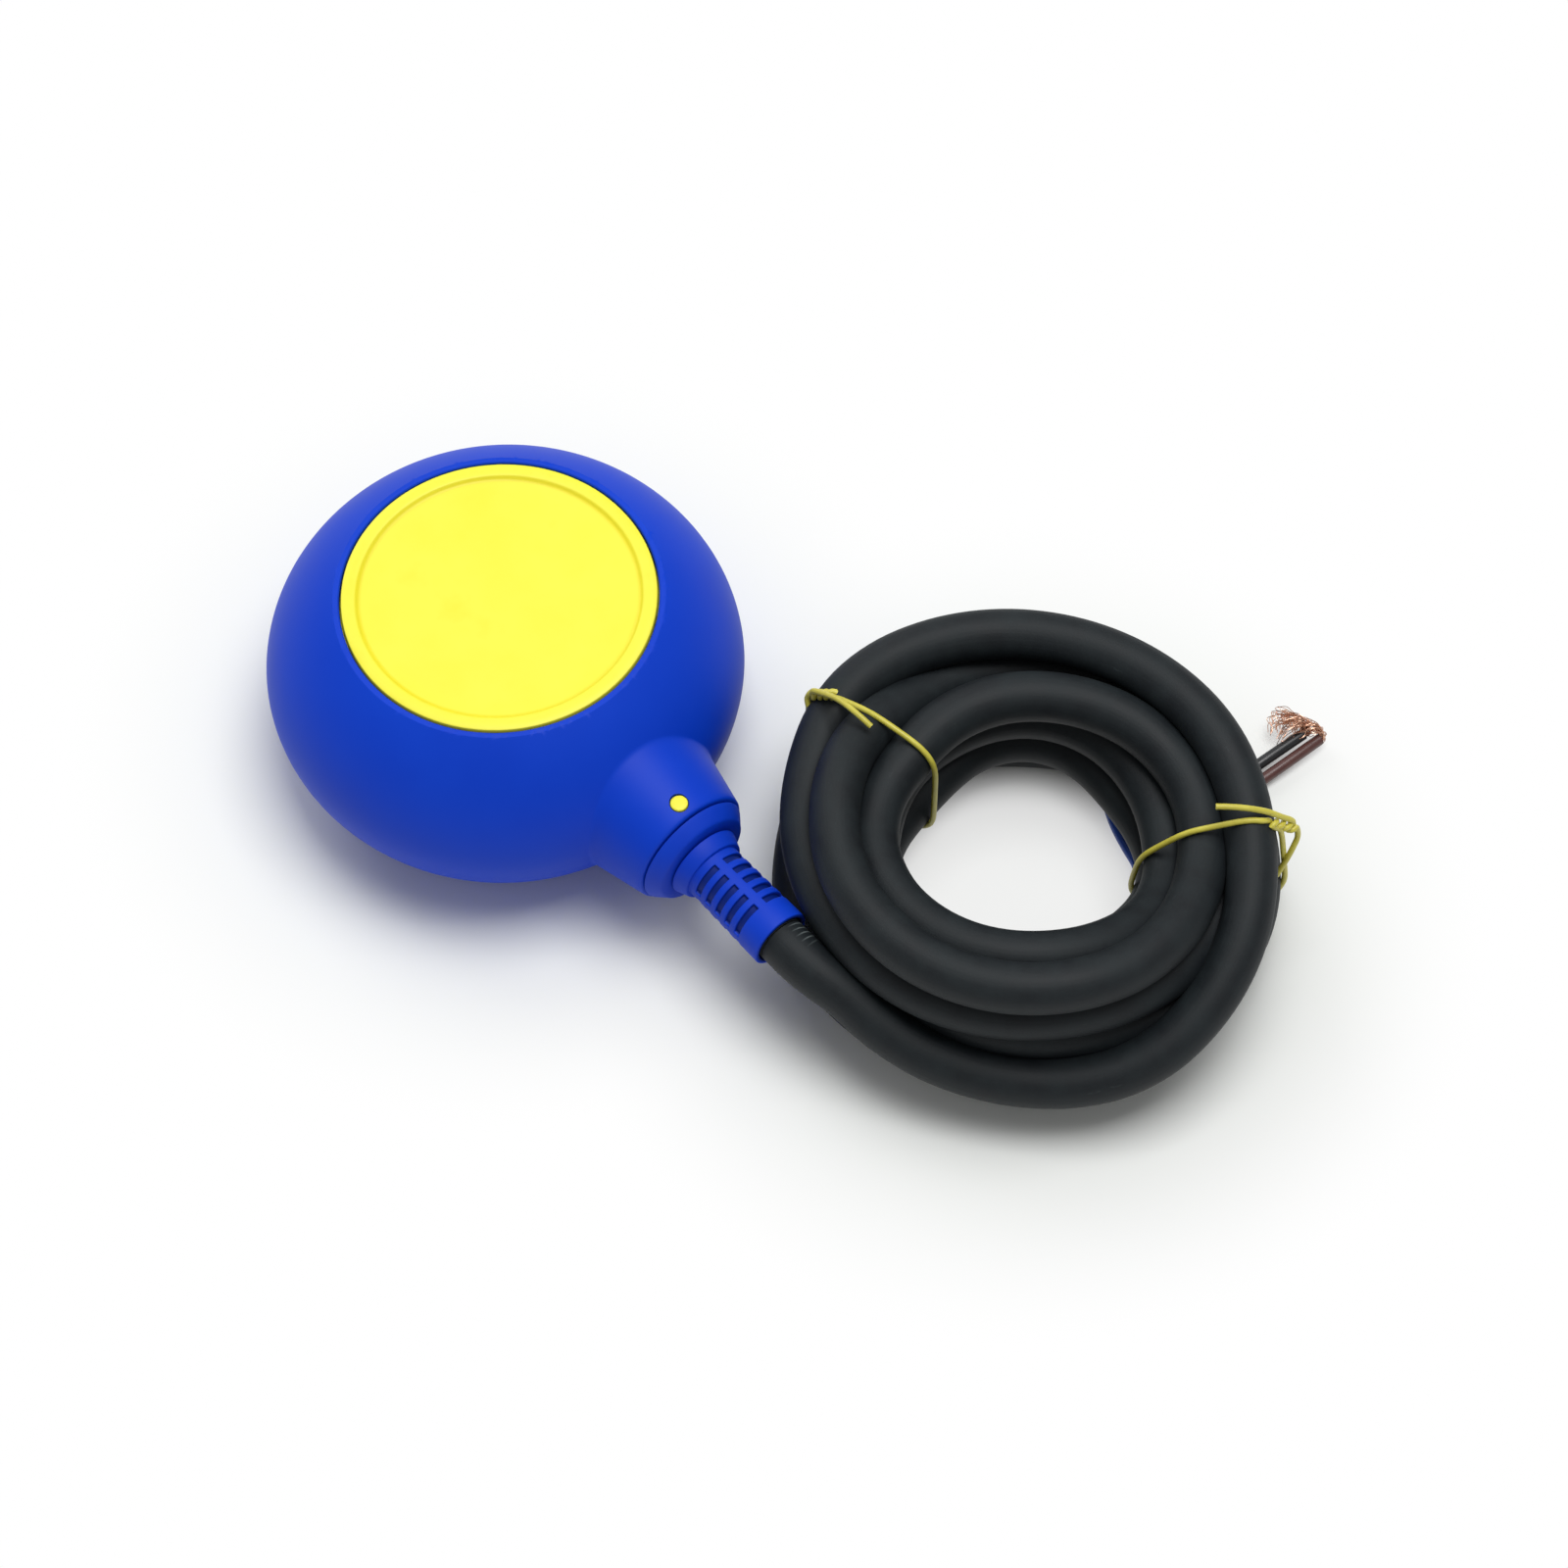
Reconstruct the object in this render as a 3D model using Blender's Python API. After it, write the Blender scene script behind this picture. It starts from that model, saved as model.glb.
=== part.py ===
"""Cable float switch: a round tilting float with its rubber cable wound in a coil.

Row frame, in metres: +X runs along the neck, from the float to the cable, and +Z is up.
The float lies on its lower yellow face. The origin is on the floor, under the middle of the
box round the float, the neck and the strain relief.
"""

import math

import bmesh
import bpy
from mathutils import Matrix, Vector

# Clearances
GAP = 0.0003
PIN_CLEARANCE = 0.0001

# Float casing, the blue outer moulding
FLOAT_RADIUS = 0.0400
FLOAT_BULGE = 0.0290
FLOAT_ROUNDNESS = 1.876
CASING_WALL = 0.0023
CASING_LIP = 0.0002

# Inner capsule, two yellow halves that show as the faces
FACE_HEIGHT = 0.0205
FACE_RADIUS = 0.02595
RIM_WIDTH = 0.0024
RIM_DEPTH = 0.0006
CAPSULE_WALL = 0.0020
LAP_HEIGHT = 0.0015

# Neck, cone and spout. The lengths run out from the float's rim, and the depths run in from it.
NECK_LENGTH = 0.0078
NECK_END_RADIUS = 0.0107
NECK_TAPER = 0.229
NECK_DEPTH = 0.0100
SPOUT_RADIUS = 0.0082
SPOUT_BORE = 0.0060
SPOUT_RECESS = 0.0010
DOT_INSET = 0.0026
DOT_RADIUS = 0.00145

# Cable and its seal
CABLE_RADIUS = 0.0042
JACKET_DEPTH = 0.0130
SEAL_LENGTH = 0.0090
WASHER_THICKNESS = 0.0010

# Gland collar and strain relief
COLLAR_LENGTH = 0.0026
COLLAR_RADIUS = 0.0102
COLLAR_SHOULDER_RADIUS = 0.0086
COLLAR_MOUTH_RADIUS = 0.0069
RELIEF_LENGTH = 0.0224
RELIEF_RADIUS = 0.0051
RELIEF_END_RADIUS = 0.00535
RELIEF_RING_RADIUS = 0.0067
RELIEF_RING_END_RADIUS = 0.00575
RELIEF_RING_LENGTH = 0.0025
RELIEF_ROOT_RADIUS = 0.0054
SLOT_ROWS = 5
SLOT_PITCH = 0.00242
SLOT_WIDTH = 0.0012
SLOT_INSET = 0.0077
RIB_WIDTH = 0.0016

# Switch carrier, rocker and ball
PLATE_THICKNESS = 0.0018
PLATE_MARGIN = 0.0012
POST_HEIGHT = 0.0024
POST_RADIUS = 0.0026
POST_INSET = 0.0046
POST_DIRECTIONS = (46, 134, 270)
SCREW_RADIUS = 0.0010
SCREW_HEAD_RADIUS = 0.0019
SCREW_HEAD_HEIGHT = 0.0011
SCREW_HEAD_CROWN = 0.8
SCREW_LENGTH = 0.0045
BALL_RADIUS = 0.0070
BALL_TRAVEL = 0.0120
ROCKER_TILT = math.radians(3.5)
ROCKER_Y = 0.0090
ROCKER_FLOOR = 0.0012
ROCKER_WALL = 0.0010
ROCKER_WALL_HEIGHT = 0.0028
ROCKER_LIP_HEIGHT = 0.0020
PIN_RADIUS = 0.0010
PIN_HEIGHT = 0.0024
BOSS_WALL = 0.0011
EAR_THICKNESS = 0.0014
EAR_WIDTH = 0.0060

# Microswitch
SWITCH_LENGTH = 0.0278
SWITCH_HEIGHT = 0.0159
SWITCH_BASE_THICKNESS = 0.0069
SWITCH_COVER_THICKNESS = 0.0031
SWITCH_FACE_Y = -0.0032
SWITCH_CENTRE_X = -0.0010
PLUNGER_X = 0.0060
PLUNGER_RADIUS = 0.0014
PLUNGER_RISE = 0.0009
PLUNGER_LENGTH = 0.0027
BRACKET_THICKNESS = 0.0013
MOUNT_HOLE_INSET = 0.0028
MOUNT_HOLE_RISE = 0.0103
SWITCH_SCREW_RADIUS = 0.0014
SWITCH_SCREW_HEAD = 0.0026
TERMINAL_WIDTH = 0.0048
TERMINAL_THICKNESS = 0.0005
TERMINAL_LENGTH = 0.0052
TERMINAL_SEAT = 0.0015
TERMINAL_PITCH = 0.0046
RECEPTACLE_WALL = 0.0004
CRIMP_LENGTH = 0.0034
CRIMP_RADIUS = 0.0016

# Cores inside the jacket
CORE_RADIUS = 0.0010
CORE_RING = 0.0013

# Cable clamp
CLAMP_WIDTH = 0.0036
CLAMP_DEPTH = 0.0100
CLAMP_HALF_SPAN = 0.0085
CLAMP_SCREW_Y = 0.0066
CLAMP_SCREW_LENGTH = 0.0072
CLAMP_TOP = 0.0062
CLAMP_SPLIT = -0.0010
SADDLE_BOTTOM = -0.0100

# Coil of cable, wound anticlockwise seen from above
COIL_OFFSET = 0.0134
COIL_Y = 0.0425
COIL_SEATS = [(0.0249, 0.0262), (0.0330, 0.0280), (0.0342, 0.0235), (0.0366, 0.0042), (0.0306, 0.0042)]

# Wire ties and stripped cores
TIE_RADIUS = 0.0005
TIE_UNDERPASS = 0.0008
TIE_TAIL_REACH = 0.0047
TIE_TAIL_RISE = 0.0030
TIE_TAIL_SPREAD = 0.0025
COPPER_RADIUS = 0.0007
COPPER_LENGTH = 0.0050
COPPER_SHORT = 0.0025
CORE_PAIR_PASSAGE = ((0.0066, 0.0215), (0.0066, 0.0445))
CORE_PAIR_WIDTH = 0.0088
CORE_PASSAGE = ((-0.0026, 0.0225), (-0.0081, 0.0311))
CORE_WIDTH = 0.0034

# Facets round a full turn
BODY_STEPS = 36
NECK_STEPS = 24
PIN_STEPS = 18
SMALL_STEPS = 10

# Places that follow from the sizes above. Stations are distances from the float's axis along +X.
NECK_END = FLOAT_RADIUS + NECK_LENGTH
NECK_ROOT = FLOAT_RADIUS - NECK_DEPTH
SPOUT_END = NECK_END - SPOUT_RECESS
DOT_STATION = NECK_END - DOT_INSET
JACKET_START = FLOAT_RADIUS - JACKET_DEPTH
CLAMP_STATION = FLOAT_RADIUS - CLAMP_DEPTH
RELIEF_END = NECK_END + RELIEF_LENGTH
SLOT_FIRST = NECK_END + SLOT_INSET
COIL_STATION = RELIEF_END + COIL_OFFSET
AXIS_X = (FLOAT_RADIUS - RELIEF_END) / 2
EQUATOR = FACE_HEIGHT
COIL_CENTRE = Vector((AXIS_X + COIL_STATION, COIL_Y, 0))
CABLE_BORE = CABLE_RADIUS + GAP
CAPSULE_RADIUS = FLOAT_RADIUS - CASING_WALL - GAP
CAPSULE_BULGE = FLOAT_BULGE - CASING_WALL - GAP
CASING_HEIGHT = FACE_HEIGHT - CASING_LIP
WINDOW_RADIUS = FACE_RADIUS + GAP
CAVITY_RADIUS = CAPSULE_RADIUS - CAPSULE_WALL
CAVITY_BULGE = CAPSULE_BULGE - CAPSULE_WALL
CAVITY_HEIGHT = FACE_HEIGHT - RIM_DEPTH - CAPSULE_WALL
PLATE_TOP = POST_HEIGHT + GAP + PLATE_THICKNESS - CAVITY_HEIGHT
PIN_Z = PLATE_TOP + PIN_HEIGHT
BOSS_RADIUS = PIN_RADIUS + PIN_CLEARANCE + BOSS_WALL
FLOOR_UNDER = PIN_RADIUS - PIN_CLEARANCE
FLOOR_TOP = FLOOR_UNDER + ROCKER_FLOOR
BALL_Z = PIN_Z + FLOOR_TOP + GAP + BALL_RADIUS
SWITCH_BOTTOM = PLATE_TOP + GAP
SWITCH_TOP = SWITCH_BOTTOM + SWITCH_HEIGHT
SWITCH_NEAR_Y = SWITCH_FACE_Y - SWITCH_BASE_THICKNESS - GAP - SWITCH_COVER_THICKNESS
PLUNGER_Y = SWITCH_FACE_Y - SWITCH_BASE_THICKNESS / 2
PLUNGER_TOP = SWITCH_TOP + PLUNGER_RISE
PLUNGER_TRAVEL = 2 * PLUNGER_X * math.sin(ROCKER_TILT)


# Building blocks

def at(station, y=0.0, z=0.0):
    """Row position of a station on the neck's axis, with offsets from that axis."""
    return Vector((AXIS_X + station, y, EQUATOR + z))


def material(name, colour, roughness, metallic=0.0):
    """One Principled material for a sub-part."""
    mat = bpy.data.materials.new(name)
    mat.use_nodes = True
    shader = mat.node_tree.nodes["Principled BSDF"]
    shader.inputs["Base Color"].default_value = (*colour, 1.0)
    shader.inputs["Roughness"].default_value = roughness
    shader.inputs["Metallic"].default_value = metallic
    mat.diffuse_color = (*colour, 1.0)
    return mat


def add_object(name, bm, mat, origin=None):
    """Turn a bmesh into a named object, with its origin at the given place."""
    bmesh.ops.recalc_face_normals(bm, faces=bm.faces)
    place = Vector(origin) if origin is not None else Vector((0, 0, 0))
    bmesh.ops.translate(bm, verts=bm.verts, vec=-place)
    mesh = bpy.data.meshes.new(name)
    bm.to_mesh(mesh)
    bm.free()
    mesh.shade_smooth()
    mesh.set_sharp_from_angle(angle=math.radians(35))
    obj = bpy.data.objects.new(name, mesh)
    bpy.context.collection.objects.link(obj)
    obj.location = place
    if mat is not None:
        mesh.materials.append(mat)
    return obj


def shape_with(obj, bm, operation, label, solver):
    """Add or cut a tool body with a Boolean, and keep the tool as a hidden guide."""
    tool = add_object(obj.name + "_" + label, bm, None)
    tool.hide_render = True
    tool.display_type = "WIRE"
    modifier = obj.modifiers.new(label, "BOOLEAN")
    modifier.operation = operation
    modifier.solver = solver
    modifier.object = tool


def cut(obj, bm, label, solver="EXACT"):
    shape_with(obj, bm, "DIFFERENCE", label, solver)


def join(obj, bm, label, solver="EXACT"):
    shape_with(obj, bm, "UNION", label, solver)


def lathe(profile, axis, centre, steps):
    """Turn a closed profile of (radius, height) points about an axis through a centre."""
    bm = bmesh.new()
    verts = [bm.verts.new((r, 0, h)) for r, h in profile]
    edges = [bm.edges.new((verts[i - 1], verts[i])) for i in range(len(verts))]
    bmesh.ops.spin(
        bm, geom=verts + edges, axis=(0, 0, 1), cent=(0, 0, 0), angle=2 * math.pi,
        steps=steps, use_merge=False, use_duplicate=False)
    bmesh.ops.remove_doubles(bm, verts=bm.verts, dist=1e-6)
    turn = Vector((0, 0, 1)).rotation_difference(Vector(axis)).to_matrix().to_4x4()
    bmesh.ops.transform(bm, matrix=Matrix.Translation(centre) @ turn, verts=bm.verts)
    bmesh.ops.delete(bm, geom=[e for e in bm.edges if not e.link_faces], context="EDGES")
    return bm


def turned_z(profile, steps=BODY_STEPS):
    """Turn a profile about the float's own axis, with heights from the equator."""
    return lathe(profile, (0, 0, 1), at(0), steps)


def turned_x(stations, steps=NECK_STEPS):
    """Turn a profile of (station, radius) points about the neck's axis."""
    return lathe([(r, s) for s, r in stations], (1, 0, 0), at(0), steps)


def cylinder(start, axis, radius, length, steps=SMALL_STEPS):
    """A plain round bar from a start point along an axis, turned by half a facet."""
    bm = lathe([(0, 0), (radius, 0), (radius, length), (0, length)], axis, start, steps)
    bmesh.ops.rotate(
        bm, verts=bm.verts, cent=start, matrix=Matrix.Rotation(math.pi / steps, 3, Vector(axis)))
    return bm


def box(low, high):
    """A block between two corners."""
    bm = bmesh.new()
    bmesh.ops.create_cube(bm, size=1.0)
    low, high = Vector(low), Vector(high)
    size = Matrix.Diagonal((*(high - low), 1.0))
    bmesh.ops.transform(bm, matrix=Matrix.Translation((low + high) / 2) @ size, verts=bm.verts)
    return bm


def grouped(parts):
    """Put several separate bodies into one bmesh."""
    whole = bmesh.new()
    for part in parts:
        mesh = bpy.data.meshes.new("part")
        part.to_mesh(mesh)
        part.free()
        whole.from_mesh(mesh)
        bpy.data.meshes.remove(mesh)
    return whole


def bulge_arc(radius, bulge, z_from, z_to, count):
    """Points (radius, height) on the float's rounded side between two heights."""
    power = FLOAT_ROUNDNESS / 2

    def angle(z):
        return math.copysign(math.asin(min(1.0, (abs(z) / bulge) ** power)), z)

    points = []
    for i in range(count + 1):
        t = angle(z_from) + (angle(z_to) - angle(z_from)) * i / count
        r = radius * math.cos(t) ** (1 / power)
        z = math.copysign(bulge * abs(math.sin(t)) ** (1 / power), t)
        points.append((r, z))
    return points


def bulge_height(radius, bulge, r):
    """Height of the float's rounded side above the equator at a distance from the axis."""
    return bulge * (1 - (r / radius) ** FLOAT_ROUNDNESS) ** (1 / FLOAT_ROUNDNESS)


def neck_radius(station):
    """Outer radius of the neck's cone at a station."""
    return NECK_END_RADIUS + (NECK_END - station) * NECK_TAPER


def smooth_route(points, spacing):
    """Evenly spaced points on a smooth curve through a route's own points."""
    pts = [Vector(p) for p in points]
    pts = [2 * pts[0] - pts[1]] + pts + [2 * pts[-1] - pts[-2]]
    fine = []
    for a, b, c, d in zip(pts, pts[1:], pts[2:], pts[3:]):
        for i in range(16):
            t = i / 16
            fine.append(0.5 * (
                2 * b + (c - a) * t + (2 * a - 5 * b + 4 * c - d) * t * t
                + (3 * b - a - 3 * c + d) * t ** 3))
    fine.append(pts[-2])
    total = sum((q - p).length for p, q in zip(fine, fine[1:]))
    count = max(2, round(total / spacing))
    even, walked, target = [fine[0]], 0.0, total / count
    for p, q in zip(fine, fine[1:]):
        step = (q - p).length
        while walked + step >= target and len(even) < count:
            even.append(p.lerp(q, (target - walked) / step))
            target += total / count
        walked += step
    return even + [fine[-1]]


def tube(name, points, radius, mat, resolution=1):
    """A round cord: a curve with a bevel and filled caps."""
    curve = bpy.data.curves.new(name, "CURVE")
    curve.dimensions = "3D"
    curve.bevel_depth = radius
    curve.bevel_resolution = resolution
    curve.use_fill_caps = True
    spline = curve.splines.new("POLY")
    spline.points.add(len(points) - 1)
    for point, place in zip(spline.points, points):
        point.co = (*place, 1.0)
    curve.materials.append(mat)
    obj = bpy.data.objects.new(name, curve)
    bpy.context.collection.objects.link(obj)
    return obj


def swept(points, radius, steps):
    """A round bar along a route, as a closed mesh for cutting."""
    bm = bmesh.new()
    rings = []
    for i, place in enumerate(points):
        along = points[min(i + 1, len(points) - 1)] - points[max(i - 1, 0)]
        turn = Vector((0, 0, 1)).rotation_difference(along).to_matrix()
        ring = []
        for k in range(steps):
            a = 2 * math.pi * k / steps
            ring.append(bm.verts.new(place + turn @ Vector((math.cos(a), math.sin(a), 0)) * radius))
        rings.append(ring)
    for near, far in zip(rings, rings[1:]):
        for k in range(steps):
            bm.faces.new((near[k - 1], near[k], far[k], far[k - 1]))
    bm.faces.new(rings[0])
    bm.faces.new(rings[-1])
    return bm


def rounded_outline(centres, radius, arc_steps):
    """The outline round a convex set of circles, as (radius, height) points."""
    middle = Vector((sum(c[0] for c in centres), sum(c[1] for c in centres))) / len(centres)
    ring = sorted(centres, key=lambda c: -math.atan2(c[1] - middle.y, c[0] - middle.x))
    points = []
    for i, here in enumerate(ring):
        before, after = Vector(ring[i - 1]), Vector(ring[(i + 1) % len(ring)])
        here = Vector(here)
        side_in, side_out = here - before, after - here
        start = math.atan2(side_in.x, -side_in.y)
        end = math.atan2(side_out.x, -side_out.y)
        sweep = (end - start + math.pi) % (2 * math.pi) - math.pi
        steps = max(1, round(arc_steps * abs(sweep) / (math.pi / 2)))
        for k in range(steps + 1):
            a = start + sweep * k / steps
            points.append((here.x + radius * math.cos(a), here.y + radius * math.sin(a)))
    return points


# Float

def float_casing(blue):
    """One moulding: a hollow flattened ball with a window in each face and a cone neck."""
    side = bulge_arc(FLOAT_RADIUS, FLOAT_BULGE, CASING_HEIGHT, -CASING_HEIGHT, 12)
    casing = add_object(
        "float_casing", turned_z([(0, CASING_HEIGHT)] + side + [(0, -CASING_HEIGHT)]), blue)
    join(casing, turned_x([
        (NECK_ROOT, 0), (NECK_ROOT, neck_radius(NECK_ROOT)), (NECK_END, NECK_END_RADIUS),
        (NECK_END, 0)]), "neck")
    inner_radius = FLOAT_RADIUS - CASING_WALL
    inner_bulge = FLOAT_BULGE - CASING_WALL
    edge = bulge_height(inner_radius, inner_bulge, WINDOW_RADIUS)
    inside = bulge_arc(inner_radius, inner_bulge, edge, -edge, 8)
    beyond = 2 * FACE_HEIGHT
    cut(casing, turned_z(
        [(0, beyond), (WINDOW_RADIUS, beyond)] + inside + [(WINDOW_RADIUS, -beyond), (0, -beyond)]),
        "hollow")
    cut(casing, cylinder(
        at(NECK_ROOT), (1, 0, 0), SPOUT_RADIUS + GAP, NECK_END - NECK_ROOT + CABLE_RADIUS,
        NECK_STEPS), "bore", "MANIFOLD")
    reach = neck_radius(DOT_STATION) + CASING_WALL
    cut(casing, cylinder(
        at(DOT_STATION, 0, -reach), (0, 0, 1), DOT_RADIUS + GAP, 2 * reach), "dot_holes",
        "MANIFOLD")
    return casing


def capsule_half(name, yellow, side):
    """A yellow half with its rimmed face, half of the spout and the pin that shows as a dot."""
    lip = FACE_HEIGHT - RIM_DEPTH
    shoulder = bulge_height(CAPSULE_RADIUS, CAPSULE_BULGE, FACE_RADIUS)
    rim_inner = FACE_RADIUS - RIM_WIDTH
    outside = bulge_arc(CAPSULE_RADIUS, CAPSULE_BULGE, shoulder, GAP / 2, 4)
    face = [(0, lip), (rim_inner, lip), (rim_inner, FACE_HEIGHT), (FACE_RADIUS, FACE_HEIGHT)]
    lap_radius = CAPSULE_RADIUS - CAPSULE_WALL / 2
    if side < 0:
        tongue = lap_radius - GAP / 2
        split = [(tongue, GAP / 2), (tongue, GAP / 2 - LAP_HEIGHT), (0, GAP / 2 - LAP_HEIGHT)]
    else:
        split = [(0, GAP / 2)]
    profile = face + outside + split
    half = add_object(name, turned_z([(r, side * z) for r, z in profile]), yellow)

    spout = cylinder(at(NECK_ROOT), (1, 0, 0), SPOUT_RADIUS, SPOUT_END - NECK_ROOT, NECK_STEPS)
    bmesh.ops.bisect_plane(
        spout, geom=spout.verts[:] + spout.edges[:] + spout.faces[:], dist=1e-7,
        plane_co=at(0, 0, side * GAP / 2), plane_no=(0, 0, -side), clear_outer=True)
    bmesh.ops.holes_fill(spout, edges=[e for e in spout.edges if e.is_boundary])
    join(half, spout, "spout")
    pin_top = neck_radius(DOT_STATION)
    join(half, cylinder(
        at(DOT_STATION, 0, side * (SPOUT_BORE + GAP)), (0, 0, side), DOT_RADIUS,
        pin_top - SPOUT_BORE - GAP), "locating_pin")

    cavity = bulge_arc(CAVITY_RADIUS, CAVITY_BULGE, CAVITY_HEIGHT, 0, 4)
    if side > 0:
        relief = lap_radius + GAP / 2
        step = LAP_HEIGHT + GAP / 2
        inside = [p for p in cavity if p[1] > step] + [
            (CAVITY_RADIUS, step), (relief, step), (relief, -FACE_HEIGHT), (0, -FACE_HEIGHT)]
    else:
        inside = cavity + [(CAVITY_RADIUS, -FACE_HEIGHT), (0, -FACE_HEIGHT)]
    hollow = [(0, CAVITY_HEIGHT)] + inside
    cut(half, turned_z([(r, side * z) for r, z in hollow]), "hollow")
    cut(half, cylinder(
        at(NECK_ROOT - CASING_WALL), (1, 0, 0), SPOUT_BORE, NECK_END, NECK_STEPS),
        "spout_bore", "MANIFOLD")
    return half


def plate_radius():
    """Radius of the round carrier plate, which fits in the capsule at the height of its underside."""
    low = abs(PLATE_TOP - PLATE_THICKNESS)
    return bulge_height(CAVITY_BULGE, CAVITY_RADIUS, low) - PLATE_MARGIN


def post_places():
    """Where the three carrier screws stand, as (x, y) from the float's axis."""
    radius = plate_radius() - POST_INSET
    turns = [math.radians(direction) for direction in POST_DIRECTIONS]
    return [(radius * math.cos(turn), radius * math.sin(turn)) for turn in turns]


def case_bottom(yellow):
    """Lower half: it carries the switch on three posts and the cable in a saddle."""
    half = capsule_half("case_bottom", yellow, -1)
    top = PLATE_TOP - PLATE_THICKNESS - GAP
    floor = CAVITY_HEIGHT + CAPSULE_WALL / 2
    posts = [
        cylinder(at(x, y, -floor), (0, 0, 1), POST_RADIUS, floor + top) for x, y in post_places()]
    join(half, grouped(posts), "posts", "MANIFOLD")
    depth = SCREW_LENGTH - PLATE_THICKNESS
    holes = [
        cylinder(at(x, y, top - depth), (0, 0, 1), SCREW_RADIUS + GAP, 2 * depth)
        for x, y in post_places()]
    cut(half, grouped(holes), "post_holes", "MANIFOLD")
    low = at(CLAMP_STATION - CLAMP_WIDTH / 2, -CLAMP_HALF_SPAN, SADDLE_BOTTOM)
    high = at(CLAMP_STATION + CLAMP_WIDTH / 2, CLAMP_HALF_SPAN, CLAMP_SPLIT)
    join(half, box(low, high), "saddle", "MANIFOLD")
    cut(half, cylinder(
        at(JACKET_START - CABLE_RADIUS), (1, 0, 0), CABLE_BORE, 3 * CABLE_RADIUS, NECK_STEPS),
        "saddle_groove", "MANIFOLD")
    screw_holes = [
        cylinder(at(CLAMP_STATION, y, CLAMP_SPLIT - SCREW_LENGTH), (0, 0, 1), SCREW_RADIUS + GAP,
                 2 * SCREW_LENGTH) for y in (-CLAMP_SCREW_Y, CLAMP_SCREW_Y)]
    cut(half, grouped(screw_holes), "saddle_holes", "MANIFOLD")
    return half


def case_top(yellow):
    """Upper half: two ribs under its face keep the ball on the rocker when the float turns over."""
    half = capsule_half("case_top", yellow, 1)
    reach = BALL_TRAVEL / 2 + BALL_RADIUS
    spread = BALL_RADIUS / 2
    low = BALL_Z + math.sqrt(BALL_RADIUS ** 2 - (spread - ROCKER_WALL / 2) ** 2) + GAP
    ribs = [
        box(at(-reach, y - ROCKER_WALL / 2, low),
            at(reach, y + ROCKER_WALL / 2, CAVITY_HEIGHT + CAPSULE_WALL / 2))
        for y in (ROCKER_Y - spread, ROCKER_Y + spread)]
    join(half, grouped(ribs), "ball_ribs", "MANIFOLD")
    return half


# Neck

def cable_seal(rubber):
    """Rubber grommet round the jacket, squeezed in the spout."""
    end = SPOUT_END - WASHER_THICKNESS - GAP
    start = end - SEAL_LENGTH
    outer = SPOUT_BORE - GAP
    nose = outer - (outer - CABLE_BORE) / 3
    return add_object("cable_seal", turned_x([
        (start, CABLE_BORE), (start, nose), (start + SEAL_LENGTH / 3, outer), (end, outer),
        (end, CABLE_BORE)]), rubber)


def thrust_washer(white):
    """Flat washer between the collar's nose and the seal."""
    end = SPOUT_END
    start = end - WASHER_THICKNESS
    return add_object("thrust_washer", turned_x([
        (start, CABLE_BORE), (start, SPOUT_BORE - GAP), (end, SPOUT_BORE - GAP),
        (end, CABLE_BORE)]), white)


def gland_collar(blue):
    """Tapered collar in the cone's mouth, which holds the seal and the strain relief's root."""
    nose = SPOUT_END + GAP
    seat = NECK_END + GAP
    mouth = seat + COLLAR_LENGTH
    root = seat + GAP
    root_bore = RELIEF_ROOT_RADIUS + GAP
    return add_object("gland_collar", turned_x([
        (nose, CABLE_BORE), (nose, SPOUT_RADIUS), (seat, SPOUT_RADIUS), (seat, COLLAR_RADIUS),
        (mouth - COLLAR_LENGTH / 9, COLLAR_SHOULDER_RADIUS), (mouth, COLLAR_MOUTH_RADIUS),
        (mouth, root_bore), (root, root_bore), (root, CABLE_BORE)]), blue)


def strain_relief(blue):
    """Flexible sleeve with four lengthwise ribs and rows of through slots."""
    root = NECK_END + 3 * GAP
    ring = NECK_END + GAP + COLLAR_LENGTH + GAP
    ring_end = ring + RELIEF_RING_LENGTH
    sleeve = add_object("strain_relief", turned_x([
        (root, CABLE_BORE), (root, RELIEF_ROOT_RADIUS), (ring, RELIEF_ROOT_RADIUS),
        (ring, RELIEF_RING_RADIUS), (ring_end, RELIEF_RING_END_RADIUS), (ring_end, RELIEF_RADIUS),
        (RELIEF_END, RELIEF_END_RADIUS), (RELIEF_END, CABLE_BORE)]), blue)
    slots = []
    for row in range(SLOT_ROWS):
        start = SLOT_FIRST + row * SLOT_PITCH - SLOT_WIDTH / 2
        for quarter in range(4):
            slots.append(slot_block(start, quarter * math.pi / 2))
    cut(sleeve, grouped(slots), "slots")
    return sleeve


def slot_block(start, turn):
    """The block that one slot takes out: a quarter of a ring, less the ribs beside it."""
    rib_angle = math.asin(RIB_WIDTH / 2 / RELIEF_RADIUS)
    inner = CABLE_BORE - GAP
    outer = RELIEF_RING_RADIUS
    steps = 4
    angles = [
        turn + rib_angle + (math.pi / 2 - 2 * rib_angle) * i / steps for i in range(steps + 1)]
    outline = [(inner * math.cos(a), inner * math.sin(a)) for a in angles]
    outline += [(outer * math.cos(a), outer * math.sin(a)) for a in reversed(angles)]
    bm = bmesh.new()
    face = bm.faces.new([bm.verts.new(at(start, y, z)) for y, z in outline])
    extruded = bmesh.ops.extrude_face_region(bm, geom=[face])["geom"]
    moved = [v for v in extruded if isinstance(v, bmesh.types.BMVert)]
    bmesh.ops.translate(bm, verts=moved, vec=(SLOT_WIDTH, 0, 0))
    return bm


def jacket_end(rubber):
    """The cable's jacket through the neck and the strain relief."""
    return add_object("cable_jacket_end", cylinder(
        at(JACKET_START), (1, 0, 0), CABLE_RADIUS, RELIEF_END - JACKET_START, NECK_STEPS), rubber)


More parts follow.
